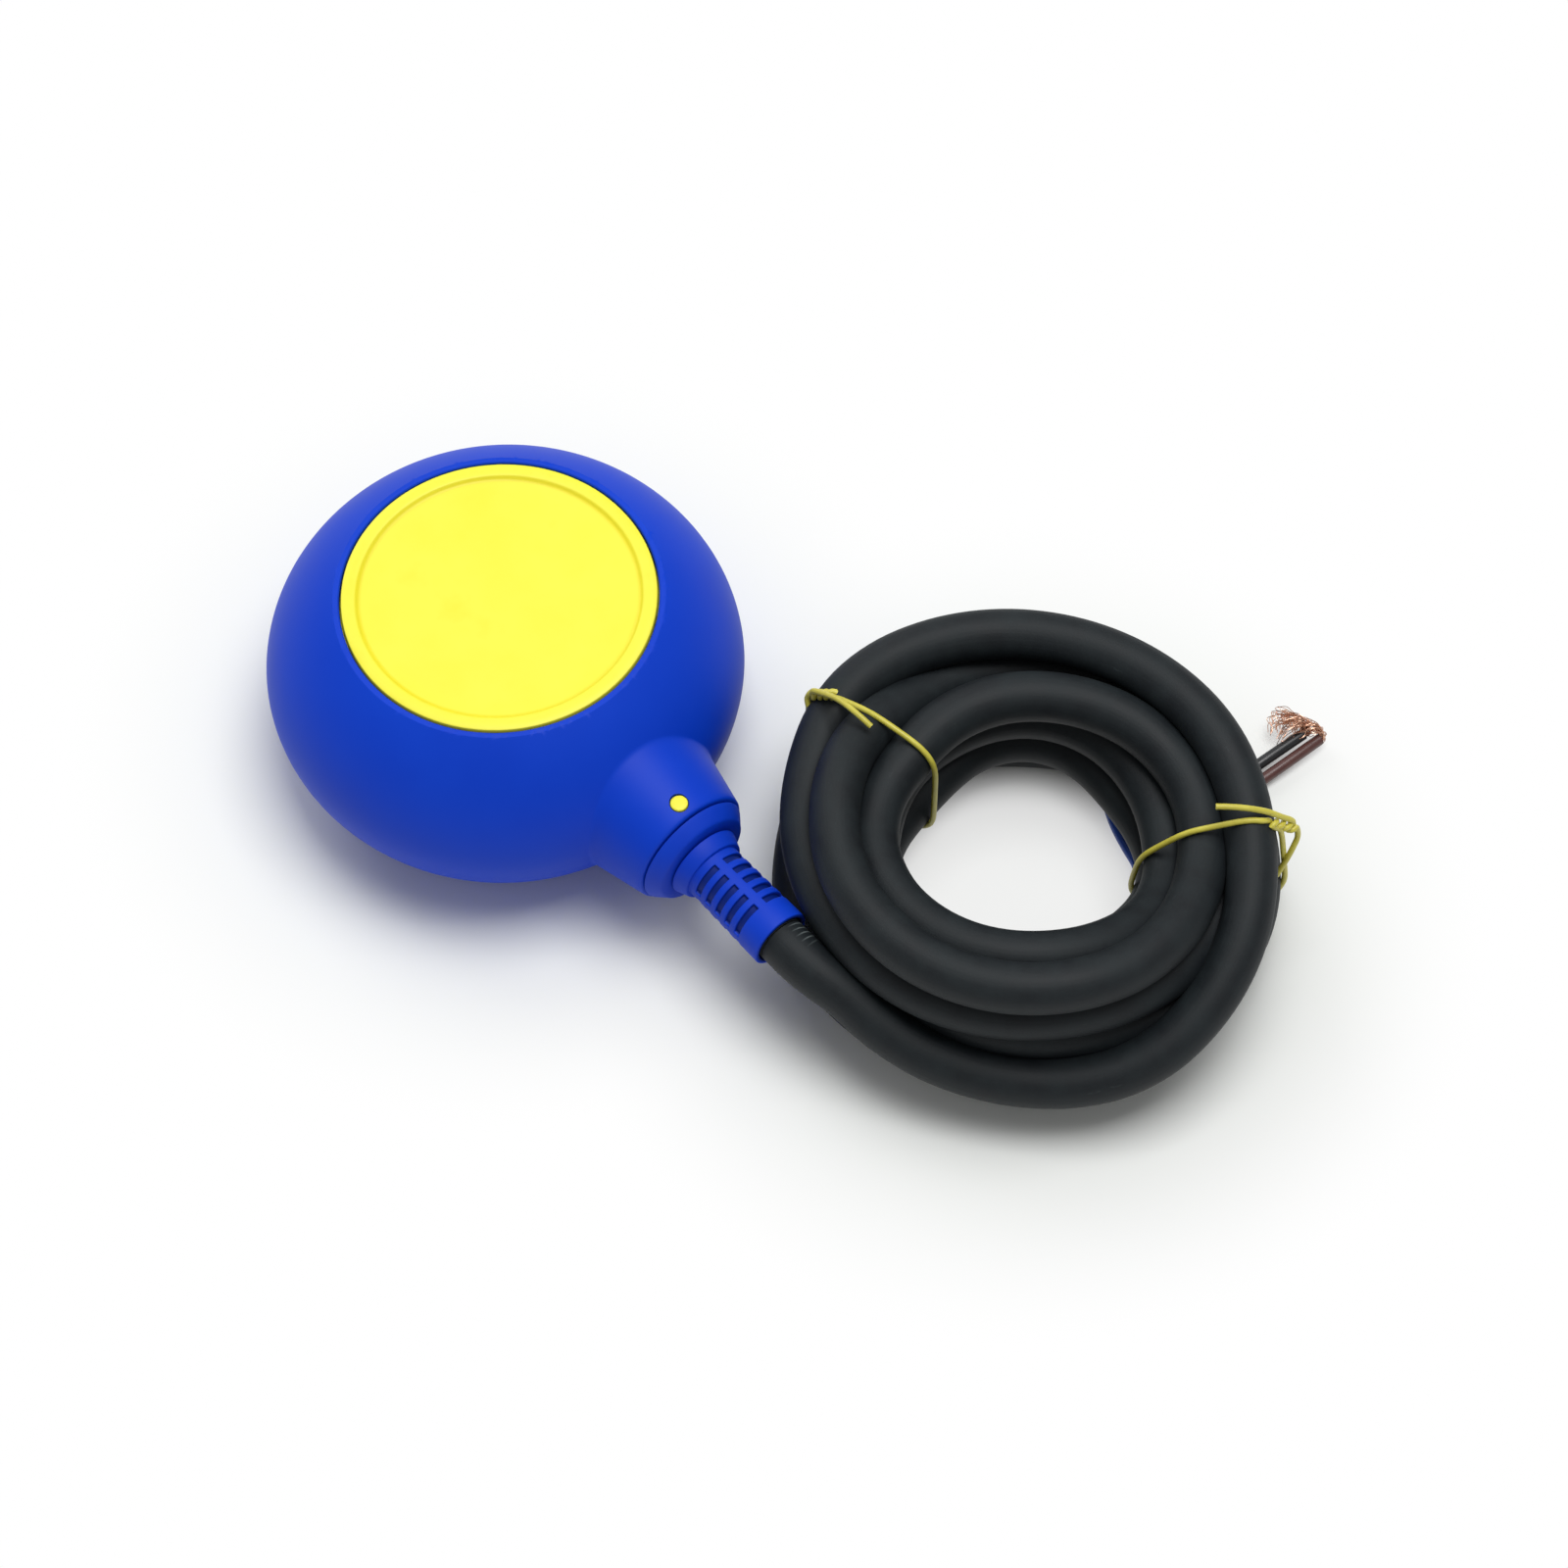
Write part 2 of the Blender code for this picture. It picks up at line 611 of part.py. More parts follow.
def cable_clamp(white):
    """Saddle strap that two screws pull down on the jacket."""
    strap = add_object("cable_clamp", box(
        at(CLAMP_STATION - CLAMP_WIDTH / 2, -CLAMP_HALF_SPAN, CLAMP_SPLIT + GAP),
        at(CLAMP_STATION + CLAMP_WIDTH / 2, CLAMP_HALF_SPAN, CLAMP_TOP)), white)
    cut(strap, cylinder(
        at(JACKET_START), (1, 0, 0), CABLE_BORE, 2 * CABLE_RADIUS, NECK_STEPS), "groove")
    drop = CLAMP_TOP - CLAMP_SPLIT
    shoulders = [
        box(at(CLAMP_STATION - CLAMP_WIDTH, min(side * CABLE_BORE, side * 2 * CLAMP_HALF_SPAN),
               CLAMP_SPLIT + drop / 2),
            at(CLAMP_STATION + CLAMP_WIDTH, max(side * CABLE_BORE, side * 2 * CLAMP_HALF_SPAN),
               2 * CLAMP_TOP))
        for side in (-1, 1)]
    cut(strap, grouped(shoulders), "shoulders")
    holes = [
        cylinder(at(CLAMP_STATION, y, CLAMP_SPLIT - GAP), (0, 0, 1), SCREW_RADIUS + GAP, 2 * drop)
        for y in (-CLAMP_SCREW_Y, CLAMP_SCREW_Y)]
    cut(strap, grouped(holes), "holes")
    return strap


def screw(name, seat, axis, radius, head_radius, length, steel):
    """Pan-head screw whose head rests on its seat and whose shank runs back along the axis."""
    head = SCREW_HEAD_HEIGHT
    profile = [
        (0, -length), (radius, -length), (radius, GAP), (head_radius, GAP),
        (head_radius, head / 2), (head_radius * SCREW_HEAD_CROWN, head), (0, head)]
    return add_object(name, lathe(profile, axis, seat, SMALL_STEPS), steel)


# Switch and its ball

def switch_carrier(white):
    """Round plate on the posts, with two ears for the rocker's pin and a wall for the switch."""
    low = PLATE_TOP - PLATE_THICKNESS
    carrier = add_object("switch_carrier", cylinder(
        at(0, 0, low), (0, 0, 1), plate_radius(), PLATE_THICKNESS, BODY_STEPS), white)
    ears = []
    for y in ear_places():
        ears.append(box(
            at(-EAR_WIDTH / 2, y - EAR_THICKNESS / 2, low + GAP),
            at(EAR_WIDTH / 2, y + EAR_THICKNESS / 2, PIN_Z + EAR_WIDTH / 2)))
    join(carrier, grouped(ears), "ears")
    wall_near = SWITCH_FACE_Y + GAP
    start = SWITCH_CENTRE_X - SWITCH_LENGTH / 2
    join(carrier, box(
        at(start, wall_near, low + GAP),
        at(start + SWITCH_LENGTH, wall_near + BRACKET_THICKNESS, SWITCH_TOP - PLUNGER_RISE)),
        "bracket")
    y0 = ear_places()[0] - EAR_THICKNESS
    y1 = ear_places()[1] + EAR_THICKNESS
    cut(carrier, cylinder(
        at(0, y0, PIN_Z), (0, 1, 0), PIN_RADIUS + PIN_CLEARANCE, y1 - y0, PIN_STEPS),
        "pin_holes")
    holes = [
        cylinder(at(x, y, low - GAP), (0, 0, 1), SCREW_RADIUS + GAP, 2 * PLATE_THICKNESS)
        for x, y in post_places()]
    cut(carrier, grouped(holes), "screw_holes")
    mounts = [
        cylinder(at(x, wall_near - GAP, z), (0, 1, 0), SWITCH_SCREW_RADIUS + GAP,
                 2 * BRACKET_THICKNESS) for x, z in switch_holes()]
    cut(carrier, grouped(mounts), "switch_holes")
    return carrier


def rocker_half_width():
    """Half of the rocker's outer width: the ball at wall height, its play and the wall."""
    half = math.sqrt(BALL_RADIUS ** 2 - (BALL_RADIUS - ROCKER_WALL_HEIGHT) ** 2)
    return half + GAP + ROCKER_WALL


def ear_places():
    """Middles of the carrier's two ears along Y."""
    offset = rocker_half_width() + 2 * GAP + EAR_THICKNESS / 2
    return (ROCKER_Y - offset, ROCKER_Y + offset)


def switch_holes():
    """The microswitch's two mounting holes, as (x, height) from the float's axis."""
    middle = SWITCH_BOTTOM + SWITCH_HEIGHT / 2
    reach = SWITCH_LENGTH / 2 - MOUNT_HOLE_INSET
    return [
        (SWITCH_CENTRE_X + side * reach, middle - side * MOUNT_HOLE_RISE / 2) for side in (-1, 1)]


def pivot_pin(steel):
    """Steel pin across the two ears."""
    near, far = ear_places()
    start = near - EAR_THICKNESS / 2
    length = far - near + EAR_THICKNESS
    return add_object("pivot_pin", cylinder(
        at(0, start, PIN_Z), (0, 1, 0), PIN_RADIUS, length, PIN_STEPS), steel)


def rocker(black):
    """Channel that the ball rolls along, with an arm over the plunger. It tips on its pin."""
    half_width = rocker_half_width()
    lip_inside = BALL_TRAVEL / 2 + math.sqrt(
        BALL_RADIUS ** 2 - (BALL_RADIUS - ROCKER_LIP_HEIGHT) ** 2) + GAP
    half_length = lip_inside + ROCKER_WALL
    under = PIN_Z + FLOOR_UNDER
    top = PIN_Z + FLOOR_TOP
    near = ROCKER_Y - half_width
    far = ROCKER_Y + half_width
    body = add_object("rocker_lever", box(
        at(-half_length, near, under), at(half_length, far, top + ROCKER_WALL_HEIGHT)), black,
        at(0, ROCKER_Y, PIN_Z))
    end_drop = ROCKER_WALL_HEIGHT - ROCKER_LIP_HEIGHT
    cut(body, box(
        at(-lip_inside, near + ROCKER_WALL, top),
        at(lip_inside, far - ROCKER_WALL, top + 2 * ROCKER_WALL_HEIGHT)), "channel")
    cut(body, box(
        at(-2 * half_length, near + ROCKER_WALL, top + ROCKER_WALL_HEIGHT - end_drop),
        at(2 * half_length, far - ROCKER_WALL, top + 2 * ROCKER_WALL_HEIGHT)), "lips")
    join(body, cylinder(
        at(0, near, PIN_Z), (0, 1, 0), BOSS_RADIUS, 2 * half_width, PIN_STEPS), "boss")
    arm_under = PLUNGER_TOP + 2 * GAP - PLUNGER_X * math.sin(ROCKER_TILT)
    left = PLUNGER_X - 2 * ROCKER_WALL
    right = PLUNGER_X + 2 * ROCKER_WALL
    ball_side = ROCKER_Y - BALL_RADIUS - GAP
    riser_side = ball_side - ROCKER_WALL
    join(body, box(
        at(left, riser_side, under), at(right, near + ROCKER_WALL / 2, top + ROCKER_WALL_HEIGHT)),
        "riser_foot")
    join(body, box(
        at(left, riser_side, top), at(right, ball_side, arm_under + ROCKER_WALL)), "riser")
    join(body, box(
        at(left, PLUNGER_Y - PLUNGER_RADIUS, arm_under),
        at(right, ball_side, arm_under + ROCKER_WALL)), "arm")
    cut(body, cylinder(
        at(0, near - ROCKER_WALL, PIN_Z), (0, 1, 0), PIN_RADIUS + PIN_CLEARANCE,
        2 * (half_width + ROCKER_WALL), PIN_STEPS), "pin_bore")
    body.rotation_euler.y = -ROCKER_TILT
    for modifier in body.modifiers:
        modifier.object.parent = body
        modifier.object.matrix_parent_inverse = Matrix.Translation(-body.location)
    return body


def steel_ball(steel):
    """Ball at the end of its roll that is farther from the neck."""
    bm = bmesh.new()
    bmesh.ops.create_uvsphere(bm, u_segments=20, v_segments=12, radius=BALL_RADIUS)
    centre = at(-BALL_TRAVEL / 2, ROCKER_Y, BALL_Z)
    bmesh.ops.translate(bm, verts=bm.verts, vec=centre)
    return add_object("steel_ball", bm, steel, centre)


def switch_body(black):
    """Base of the microswitch, with the plunger's hole and the terminals' slots."""
    start = SWITCH_CENTRE_X - SWITCH_LENGTH / 2
    near = SWITCH_FACE_Y - SWITCH_BASE_THICKNESS
    body = add_object("microswitch_base", box(
        at(start, near, SWITCH_BOTTOM), at(start + SWITCH_LENGTH, SWITCH_FACE_Y, SWITCH_TOP)),
        black)
    depth = PLUNGER_LENGTH + PLUNGER_TRAVEL + GAP - PLUNGER_RISE
    cut(body, cylinder(
        at(PLUNGER_X, PLUNGER_Y, SWITCH_TOP - depth), (0, 0, 1), PLUNGER_RADIUS + GAP, 2 * depth),
        "plunger_hole")
    slots = []
    for z in terminal_heights():
        slots.append(box(
            at(start - TERMINAL_LENGTH, PLUNGER_Y - TERMINAL_WIDTH / 2 - GAP,
               z - TERMINAL_THICKNESS / 2 - GAP),
            at(start + TERMINAL_SEAT, PLUNGER_Y + TERMINAL_WIDTH / 2 + GAP,
               z + TERMINAL_THICKNESS / 2 + GAP)))
    cut(body, grouped(slots), "terminal_slots")
    cut(body, mount_hole_tool(), "mount_holes")
    return body


def mount_hole_tool():
    """Both mounting holes through the switch's whole thickness."""
    length = SWITCH_FACE_Y - SWITCH_NEAR_Y
    return grouped([
        cylinder(at(x, SWITCH_NEAR_Y - GAP, z), (0, 1, 0), SWITCH_SCREW_RADIUS + GAP,
                 length + 2 * GAP) for x, z in switch_holes()])


def switch_cover(black):
    """Cover on the base's open side."""
    start = SWITCH_CENTRE_X - SWITCH_LENGTH / 2
    cover = add_object("microswitch_cover", box(
        at(start, SWITCH_NEAR_Y, SWITCH_BOTTOM),
        at(start + SWITCH_LENGTH, SWITCH_NEAR_Y + SWITCH_COVER_THICKNESS, SWITCH_TOP)), black)
    cut(cover, mount_hole_tool(), "mount_holes")
    return cover


def switch_plunger(red):
    """Plunger under the rocker's arm, with a domed top."""
    crown = PLUNGER_RADIUS / 3
    profile = [
        (0, PLUNGER_RISE - PLUNGER_LENGTH), (PLUNGER_RADIUS, PLUNGER_RISE - PLUNGER_LENGTH),
        (PLUNGER_RADIUS, PLUNGER_RISE - crown), (PLUNGER_RADIUS - crown, PLUNGER_RISE),
        (0, PLUNGER_RISE)]
    top = at(PLUNGER_X, PLUNGER_Y, SWITCH_TOP)
    return add_object("switch_plunger", lathe(profile, (0, 0, 1), top, SMALL_STEPS), red, top)


def terminal_heights():
    """Heights of the three terminals, from the lowest up."""
    middle = SWITCH_BOTTOM + SWITCH_HEIGHT / 2
    return [middle + (i - 1) * TERMINAL_PITCH for i in range(3)]


def terminal(name, height, brass):
    """Flat blade in its slot in the base."""
    inner = SWITCH_CENTRE_X - SWITCH_LENGTH / 2 + TERMINAL_SEAT - GAP
    return add_object(name, box(
        at(inner - TERMINAL_SEAT - TERMINAL_LENGTH, PLUNGER_Y - TERMINAL_WIDTH / 2,
           height - TERMINAL_THICKNESS / 2),
        at(inner, PLUNGER_Y + TERMINAL_WIDTH / 2, height + TERMINAL_THICKNESS / 2)), brass)


def receptacle_end():
    """Station of the crimp's open end."""
    blade_end = SWITCH_CENTRE_X - SWITCH_LENGTH / 2 - GAP - TERMINAL_LENGTH
    return blade_end - CRIMP_LENGTH


def receptacle(name, height, brass):
    """Push-on sleeve on a blade, with the crimp that grips its core."""
    crimp = receptacle_end() + CRIMP_LENGTH
    half_width = TERMINAL_WIDTH / 2 + GAP + RECEPTACLE_WALL
    half_height = TERMINAL_THICKNESS / 2 + GAP + RECEPTACLE_WALL
    sleeve = add_object(name, box(
        at(crimp - 2 * RECEPTACLE_WALL, PLUNGER_Y - half_width, height - half_height),
        at(crimp + TERMINAL_LENGTH - GAP, PLUNGER_Y + half_width,
           height + half_height)), brass)
    join(sleeve, cylinder(
        at(receptacle_end(), PLUNGER_Y, height), (1, 0, 0), CRIMP_RADIUS, CRIMP_LENGTH), "crimp")
    cut(sleeve, box(
        at(crimp - GAP, PLUNGER_Y - TERMINAL_WIDTH / 2 - GAP,
           height - TERMINAL_THICKNESS / 2 - GAP),
        at(crimp + 2 * TERMINAL_LENGTH, PLUNGER_Y + TERMINAL_WIDTH / 2 + GAP,
           height + TERMINAL_THICKNESS / 2 + GAP)), "blade_slot")
    cut(sleeve, cylinder(
        at(receptacle_end() - GAP, PLUNGER_Y, height), (1, 0, 0), CORE_RADIUS + GAP,
        CRIMP_LENGTH - 2 * GAP), "core_bore")
    return sleeve


def inner_core(name, height, angle, outer_y, mat):
    """A core from its crimp, round the switch's cover and back to the jacket's end."""
    start = receptacle_end() + CRIMP_LENGTH - 4 * GAP
    end_y = CORE_RING * math.cos(angle)
    end_z = CORE_RING * math.sin(angle)
    back = receptacle_end()
    step = CORE_RADIUS
    route = [
        at(start, PLUNGER_Y, height), at(back + step, PLUNGER_Y, height),
        at(back - 0.8 * step, PLUNGER_Y - 0.2 * step, height),
        at(back - 2.2 * step, PLUNGER_Y - 2.4 * step, height),
        at(back - 1.6 * step, (PLUNGER_Y + outer_y) / 2 - 1.6 * step, height),
        at(back + 4 * step, outer_y, height), at(-8 * step, outer_y, height),
        at(JACKET_START - 16 * step, outer_y, height * 0.9),
        at(JACKET_START - 10.5 * step, outer_y + 3 * step, height * 0.65),
        at(JACKET_START - 6.5 * step, (outer_y + end_y) / 2, height * 0.36 + end_z * 2.0),
        at(JACKET_START - 3.5 * step, end_y * 1.6, end_z * 1.8),
        at(JACKET_START - GAP, end_y, end_z)]
    points = smooth_route(route, 4 * CORE_RADIUS)
    points.insert(1, at(back - GAP, PLUNGER_Y, height))
    points.insert(-1, points[-1] - Vector((CORE_RADIUS, 0, 0)))
    return tube(name, points, CORE_RADIUS, mat)


# Coil, ties and stripped end

def lead_route():
    """The cable from the strain relief down to the coil's foot on the near side."""
    route = [
        (GAP, 0, 0), (0.0043, 0, 0), (0.0083, 0.0007, -0.0008), (0.0134, 0.0022, -0.0023),
        (0.0216, 0.0052, -0.0059), (0.0295, 0.0094, -0.0095), (0.0373, 0.0149, -0.0123),
        (0.0438, 0.0206, -0.0139)]
    return [at(RELIEF_END + along, y, z) for along, y, z in route]


def lead_points():
    """Points along the lead, of which the first stretch runs straight out of the sleeve."""
    points = smooth_route(lead_route(), 2 * CABLE_RADIUS)
    return points[:1] + [points[0] + Vector((CABLE_RADIUS / 2, 0, 0))] + points[1:]


def cable_lead(rubber):
    """The stretch of cable between the strain relief and the coil."""
    return tube("cable_lead", lead_points(), CABLE_RADIUS, rubber, 4)


def cable_coil(rubber):
    """Outer form of the wound cable, with passages for the lead, the ties and the cores."""
    coil = add_object("cable_coil", lathe(
        rounded_outline(COIL_SEATS, CABLE_RADIUS, 3), (0, 0, 1), COIL_CENTRE, BODY_STEPS), rubber,
        COIL_CENTRE)
    route = lead_points()
    onward = (route[-1] - route[-2]).normalized() * GAP
    cut(coil, swept(route[:-1] + [route[-1] + onward], CABLE_BORE, SMALL_STEPS), "lead_passage")
    height = TIE_UNDERPASS + TIE_RADIUS + GAP
    passages = [
        passage(*tie_line(*tie), 2 * (TIE_RADIUS + GAP), height) for tie in tie_angles()]
    core_height = 2 * CORE_RADIUS + 3 * GAP
    passages.append(passage(*CORE_PAIR_PASSAGE, CORE_PAIR_WIDTH, core_height))
    passages.append(passage(*CORE_PASSAGE, CORE_WIDTH, core_height))
    cut(coil, grouped(passages), "passages")
    return coil


def passage(start, end, width, height):
    """A straight low tunnel over the floor between two points given from the coil's middle."""
    a = COIL_CENTRE + Vector((*start, 0))
    b = COIL_CENTRE + Vector((*end, 0))
    along = (b - a).normalized()
    bm = box((0, -width / 2, -height), ((b - a).length, width / 2, height))
    turn = Matrix.Rotation(math.atan2(along.y, along.x), 4, "Z")
    bmesh.ops.transform(bm, matrix=Matrix.Translation(a) @ turn, verts=bm.verts)
    return bm


def tie_angles():
    """Where each tie crosses the coil: the angle outside it and the angle in its hole."""
    return [(math.radians(197), math.radians(197)), (math.radians(49), math.radians(28))]


def tie_point(radius, outer_angle, inner_angle):
    """Place on a tie's slanted line at a distance from the coil's middle."""
    inner = COIL_SEATS[0][0] - 2 * CABLE_RADIUS
    outer = COIL_SEATS[3][0] + 2 * CABLE_RADIUS
    share = (radius - inner) / (outer - inner)
    angle = inner_angle + (outer_angle - inner_angle) * share
    return Vector((math.cos(angle), math.sin(angle), 0)) * radius


def tie_line(outer_angle, inner_angle):
    """Both ends of the straight line that a tie takes under the coil, from the coil's middle."""
    reach = (COIL_SEATS[4][0] - 2 * CABLE_RADIUS, COIL_SEATS[3][0] + 2 * CABLE_RADIUS)
    return [tie_point(radius, outer_angle, inner_angle).xy for radius in reach]


def coil_tie(name, outer_angle, inner_angle, wire):
    """A coated wire once round the coil's section, with both tails outside it."""
    offset = CABLE_RADIUS + 2 * GAP + TIE_RADIUS
    outline = rounded_outline(COIL_SEATS, offset, 4)
    knot = max(range(len(outline)), key=lambda i: outline[i][0] + outline[i][1] / 8)
    loop = outline[knot:] + outline[:knot - 1]
    a, b = [end.to_3d() for end in tie_line(outer_angle, inner_angle)]
    points = []
    for radius, height in loop:
        place = tie_point(radius, outer_angle, inner_angle)
        if height < 3 * CABLE_RADIUS and radius > COIL_SEATS[4][0] - 2 * CABLE_RADIUS:
            share = (radius - a.length) / (b.length - a.length)
            place = a.lerp(b, share)
        points.append(COIL_CENTRE + place + Vector((0, 0, max(height, TIE_UNDERPASS))))
    outward = (points[0] - COIL_CENTRE)
    outward.z = 0
    outward.normalize()
    side = Vector((-outward.y, outward.x, 0))
    reach = outward * TIE_TAIL_REACH
    spread = side * TIE_TAIL_SPREAD
    rise = Vector((0, 0, TIE_TAIL_RISE))
    lower = [points[0] + share * (reach - spread - rise / 2) for share in (1.0, 0.5)]
    upper = [points[-1] + share * (reach + spread + rise) for share in (0.5, 1.0)]
    return tube(name, lower + points + upper, TIE_RADIUS, wire)


def core_routes():
    """The stripped cores, from the jacket's end in the coil's hole to their cut ends."""
    low = CORE_RADIUS + GAP
    routes = {
        "brown": [
            (0.0111, 0.0227, 0), (0.0092, 0.0241, 0), (0.0080, 0.0280, 0), (0.0078, 0.0355, 0),
            (0.0083, 0.0445, 0.0004), (0.0090, 0.0525, 0.0008), (0.0093, 0.0585, 0.0006)],
        "black": [
            (0.0100, 0.0205, 0), (0.0078, 0.0220, 0), (0.0058, 0.0245, 0), (0.0049, 0.0285, 0),
            (0.0048, 0.0375, 0), (0.0051, 0.0445, 0.0008), (0.0057, 0.0510, 0.0016),
            (0.0063, 0.0560, 0.0020)],
        "blue": [
            (0.0089, 0.0181, 0), (0.0064, 0.0196, 0), (0.0034, 0.0214, 0), (-0.0001, 0.0230, 0),
            (-0.0033, 0.0245, 0), (-0.0054, 0.0269, 0)],
    }
    return {
        colour: [COIL_CENTRE + Vector((x, y, low + rise)) for x, y, rise in route]
        for colour, route in routes.items()}


def stripped_core(colour, route, insulation):
    """One core's insulation."""
    return tube(
        "core_" + colour, smooth_route(route, 5 * CORE_RADIUS), CORE_RADIUS, insulation)


def copper_end(colour, route, copper):
    """The bunch of bare strands at a core's end, drawn as one plain tapered bundle."""
    before, tip = Vector(route[-2]), Vector(route[-1])
    along = (tip - before).normalized()
    length = COPPER_SHORT if colour == "blue" else COPPER_LENGTH
    profile = [
        (0, 0), (COPPER_RADIUS, 0), (COPPER_RADIUS * 1.2, length * 0.7),
        (COPPER_RADIUS * 0.7, length), (0, length)]
    return add_object(
        "copper_" + colour, lathe(profile, along, tip + along * GAP, SMALL_STEPS), copper)


def build():
    """Make every sub-part."""
    blue = material("blue_polypropylene", (0.020, 0.078, 0.60), 0.45)
    yellow = material("yellow_polypropylene", (0.98, 0.90, 0.08), 0.45)
    rubber = material("black_rubber", (0.022, 0.025, 0.028), 0.70)
    white = material("white_nylon", (0.82, 0.82, 0.78), 0.50)
    black = material("black_acetal", (0.03, 0.03, 0.03), 0.40)
    red = material("red_acetal", (0.60, 0.05, 0.04), 0.40)
    steel = material("steel", (0.62, 0.62, 0.64), 0.25, 1.0)
    brass = material("tinned_brass", (0.72, 0.66, 0.48), 0.30, 1.0)
    copper = material("copper", (0.80, 0.42, 0.28), 0.30, 1.0)
    tie_yellow = material("yellow_pvc", (0.80, 0.68, 0.05), 0.40)
    core_colours = {
        "brown": material("brown_pvc", (0.10, 0.035, 0.03), 0.35),
        "black": material("black_pvc", (0.02, 0.02, 0.022), 0.35),
        "blue": material("blue_pvc", (0.02, 0.12, 0.50), 0.35)}

    float_casing(blue)
    case_top(yellow)
    case_bottom(yellow)
    cable_seal(rubber)
    thrust_washer(white)
    gland_collar(blue)
    strain_relief(blue)
    jacket_end(rubber)
    cable_clamp(white)
    for i, y in enumerate((-CLAMP_SCREW_Y, CLAMP_SCREW_Y)):
        shoulder = CLAMP_SPLIT + (CLAMP_TOP - CLAMP_SPLIT) / 2
        screw("clamp_screw_%d" % (i + 1), at(CLAMP_STATION, y, shoulder), (0, 0, 1),
              SCREW_RADIUS, SCREW_HEAD_RADIUS, CLAMP_SCREW_LENGTH, steel)
    switch_carrier(white)
    for i, (x, y) in enumerate(post_places()):
        screw("carrier_screw_%d" % (i + 1), at(x, y, PLATE_TOP), (0, 0, 1),
              SCREW_RADIUS, SCREW_HEAD_RADIUS, SCREW_LENGTH - GAP, steel)
    pivot_pin(steel)
    rocker(black)
    steel_ball(steel)
    switch_body(black)
    switch_cover(black)
    switch_plunger(red)
    for i, (x, z) in enumerate(switch_holes()):
        length = SWITCH_FACE_Y - SWITCH_NEAR_Y + BRACKET_THICKNESS
        screw("switch_screw_%d" % (i + 1), at(x, SWITCH_NEAR_Y, z), (0, -1, 0),
              SWITCH_SCREW_RADIUS, SWITCH_SCREW_HEAD, length, steel)
    lanes = {"brown": 300, "black": 180, "blue": 60}
    for (colour, angle), z in zip(lanes.items(), terminal_heights()):
        terminal("terminal_" + colour, z, brass)
        receptacle("receptacle_" + colour, z, brass)
        inner_core("inner_core_" + colour, z, math.radians(angle),
                   SWITCH_NEAR_Y - SCREW_HEAD_HEIGHT - CORE_RADIUS - 2 * GAP, core_colours[colour])

    cable_lead(rubber)
    cable_coil(rubber)
    for name, angles in zip(("coil_tie_left", "coil_tie_right"), tie_angles()):
        coil_tie(name, *angles, tie_yellow)
    for colour, route in core_routes().items():
        stripped_core(colour, route, core_colours[colour])
        copper_end(colour, route, copper)


for old in list(bpy.data.objects):
    bpy.data.objects.remove(old, do_unlink=True)
build()
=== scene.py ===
import math

import bmesh
import bpy
import numpy as np
from mathutils import Matrix, Vector


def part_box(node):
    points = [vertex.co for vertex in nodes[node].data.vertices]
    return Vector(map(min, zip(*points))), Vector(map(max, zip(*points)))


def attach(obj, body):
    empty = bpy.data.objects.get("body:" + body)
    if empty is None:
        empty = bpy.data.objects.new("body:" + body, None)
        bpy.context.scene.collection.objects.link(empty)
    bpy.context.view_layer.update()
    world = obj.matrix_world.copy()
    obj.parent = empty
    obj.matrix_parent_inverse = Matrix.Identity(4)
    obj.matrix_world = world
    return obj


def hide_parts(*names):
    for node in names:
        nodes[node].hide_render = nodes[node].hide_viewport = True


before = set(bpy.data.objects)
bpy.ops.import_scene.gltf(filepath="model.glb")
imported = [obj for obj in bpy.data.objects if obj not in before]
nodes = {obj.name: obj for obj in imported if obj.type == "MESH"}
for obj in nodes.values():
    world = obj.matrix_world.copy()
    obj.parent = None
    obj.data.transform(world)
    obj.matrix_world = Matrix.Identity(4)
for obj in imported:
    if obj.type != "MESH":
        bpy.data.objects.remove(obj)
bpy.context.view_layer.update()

scene = bpy.context.scene

# White card sweep under the float switch. It is matt paper board, and it fades to plain white all
# round the object while it keeps the soft shadows that the float and the coil throw on it.


def linear(hex_colour):
    """An sRGB hex colour as the linear colour that a shader takes."""
    values = [int(hex_colour[i:i + 2], 16) / 255 for i in (1, 3, 5)]
    return [v / 12.92 if v <= 0.04045 else ((v + 0.055) / 1.055) ** 2.4 for v in values] + [1.0]


def add(tree, kind, settings, links=()):
    """Adds a shader node, with its attributes and input values by name, and its inputs' sources."""
    node = tree.nodes.new(kind)
    for name, value in settings.items():
        if name in node.inputs:
            node.inputs[name].default_value = value
        elif name.isdigit():
            node.inputs[int(name)].default_value = value
        else:
            setattr(node, name, value)
    for name, source in dict(links).items():
        tree.links.new(source, node.inputs[int(name) if name.isdigit() else name])
    return node


def new_material(name):
    """A named material with its node tree and its Principled shader."""
    material = bpy.data.materials.new(name)
    material.use_nodes = True
    return material, material.node_tree, material.node_tree.nodes["Principled BSDF"]


card, tree, shader = new_material("matt_white_card")
shader.inputs["Base Color"].default_value = linear("#f2f4f1")
shader.inputs["Roughness"].default_value = 0.9
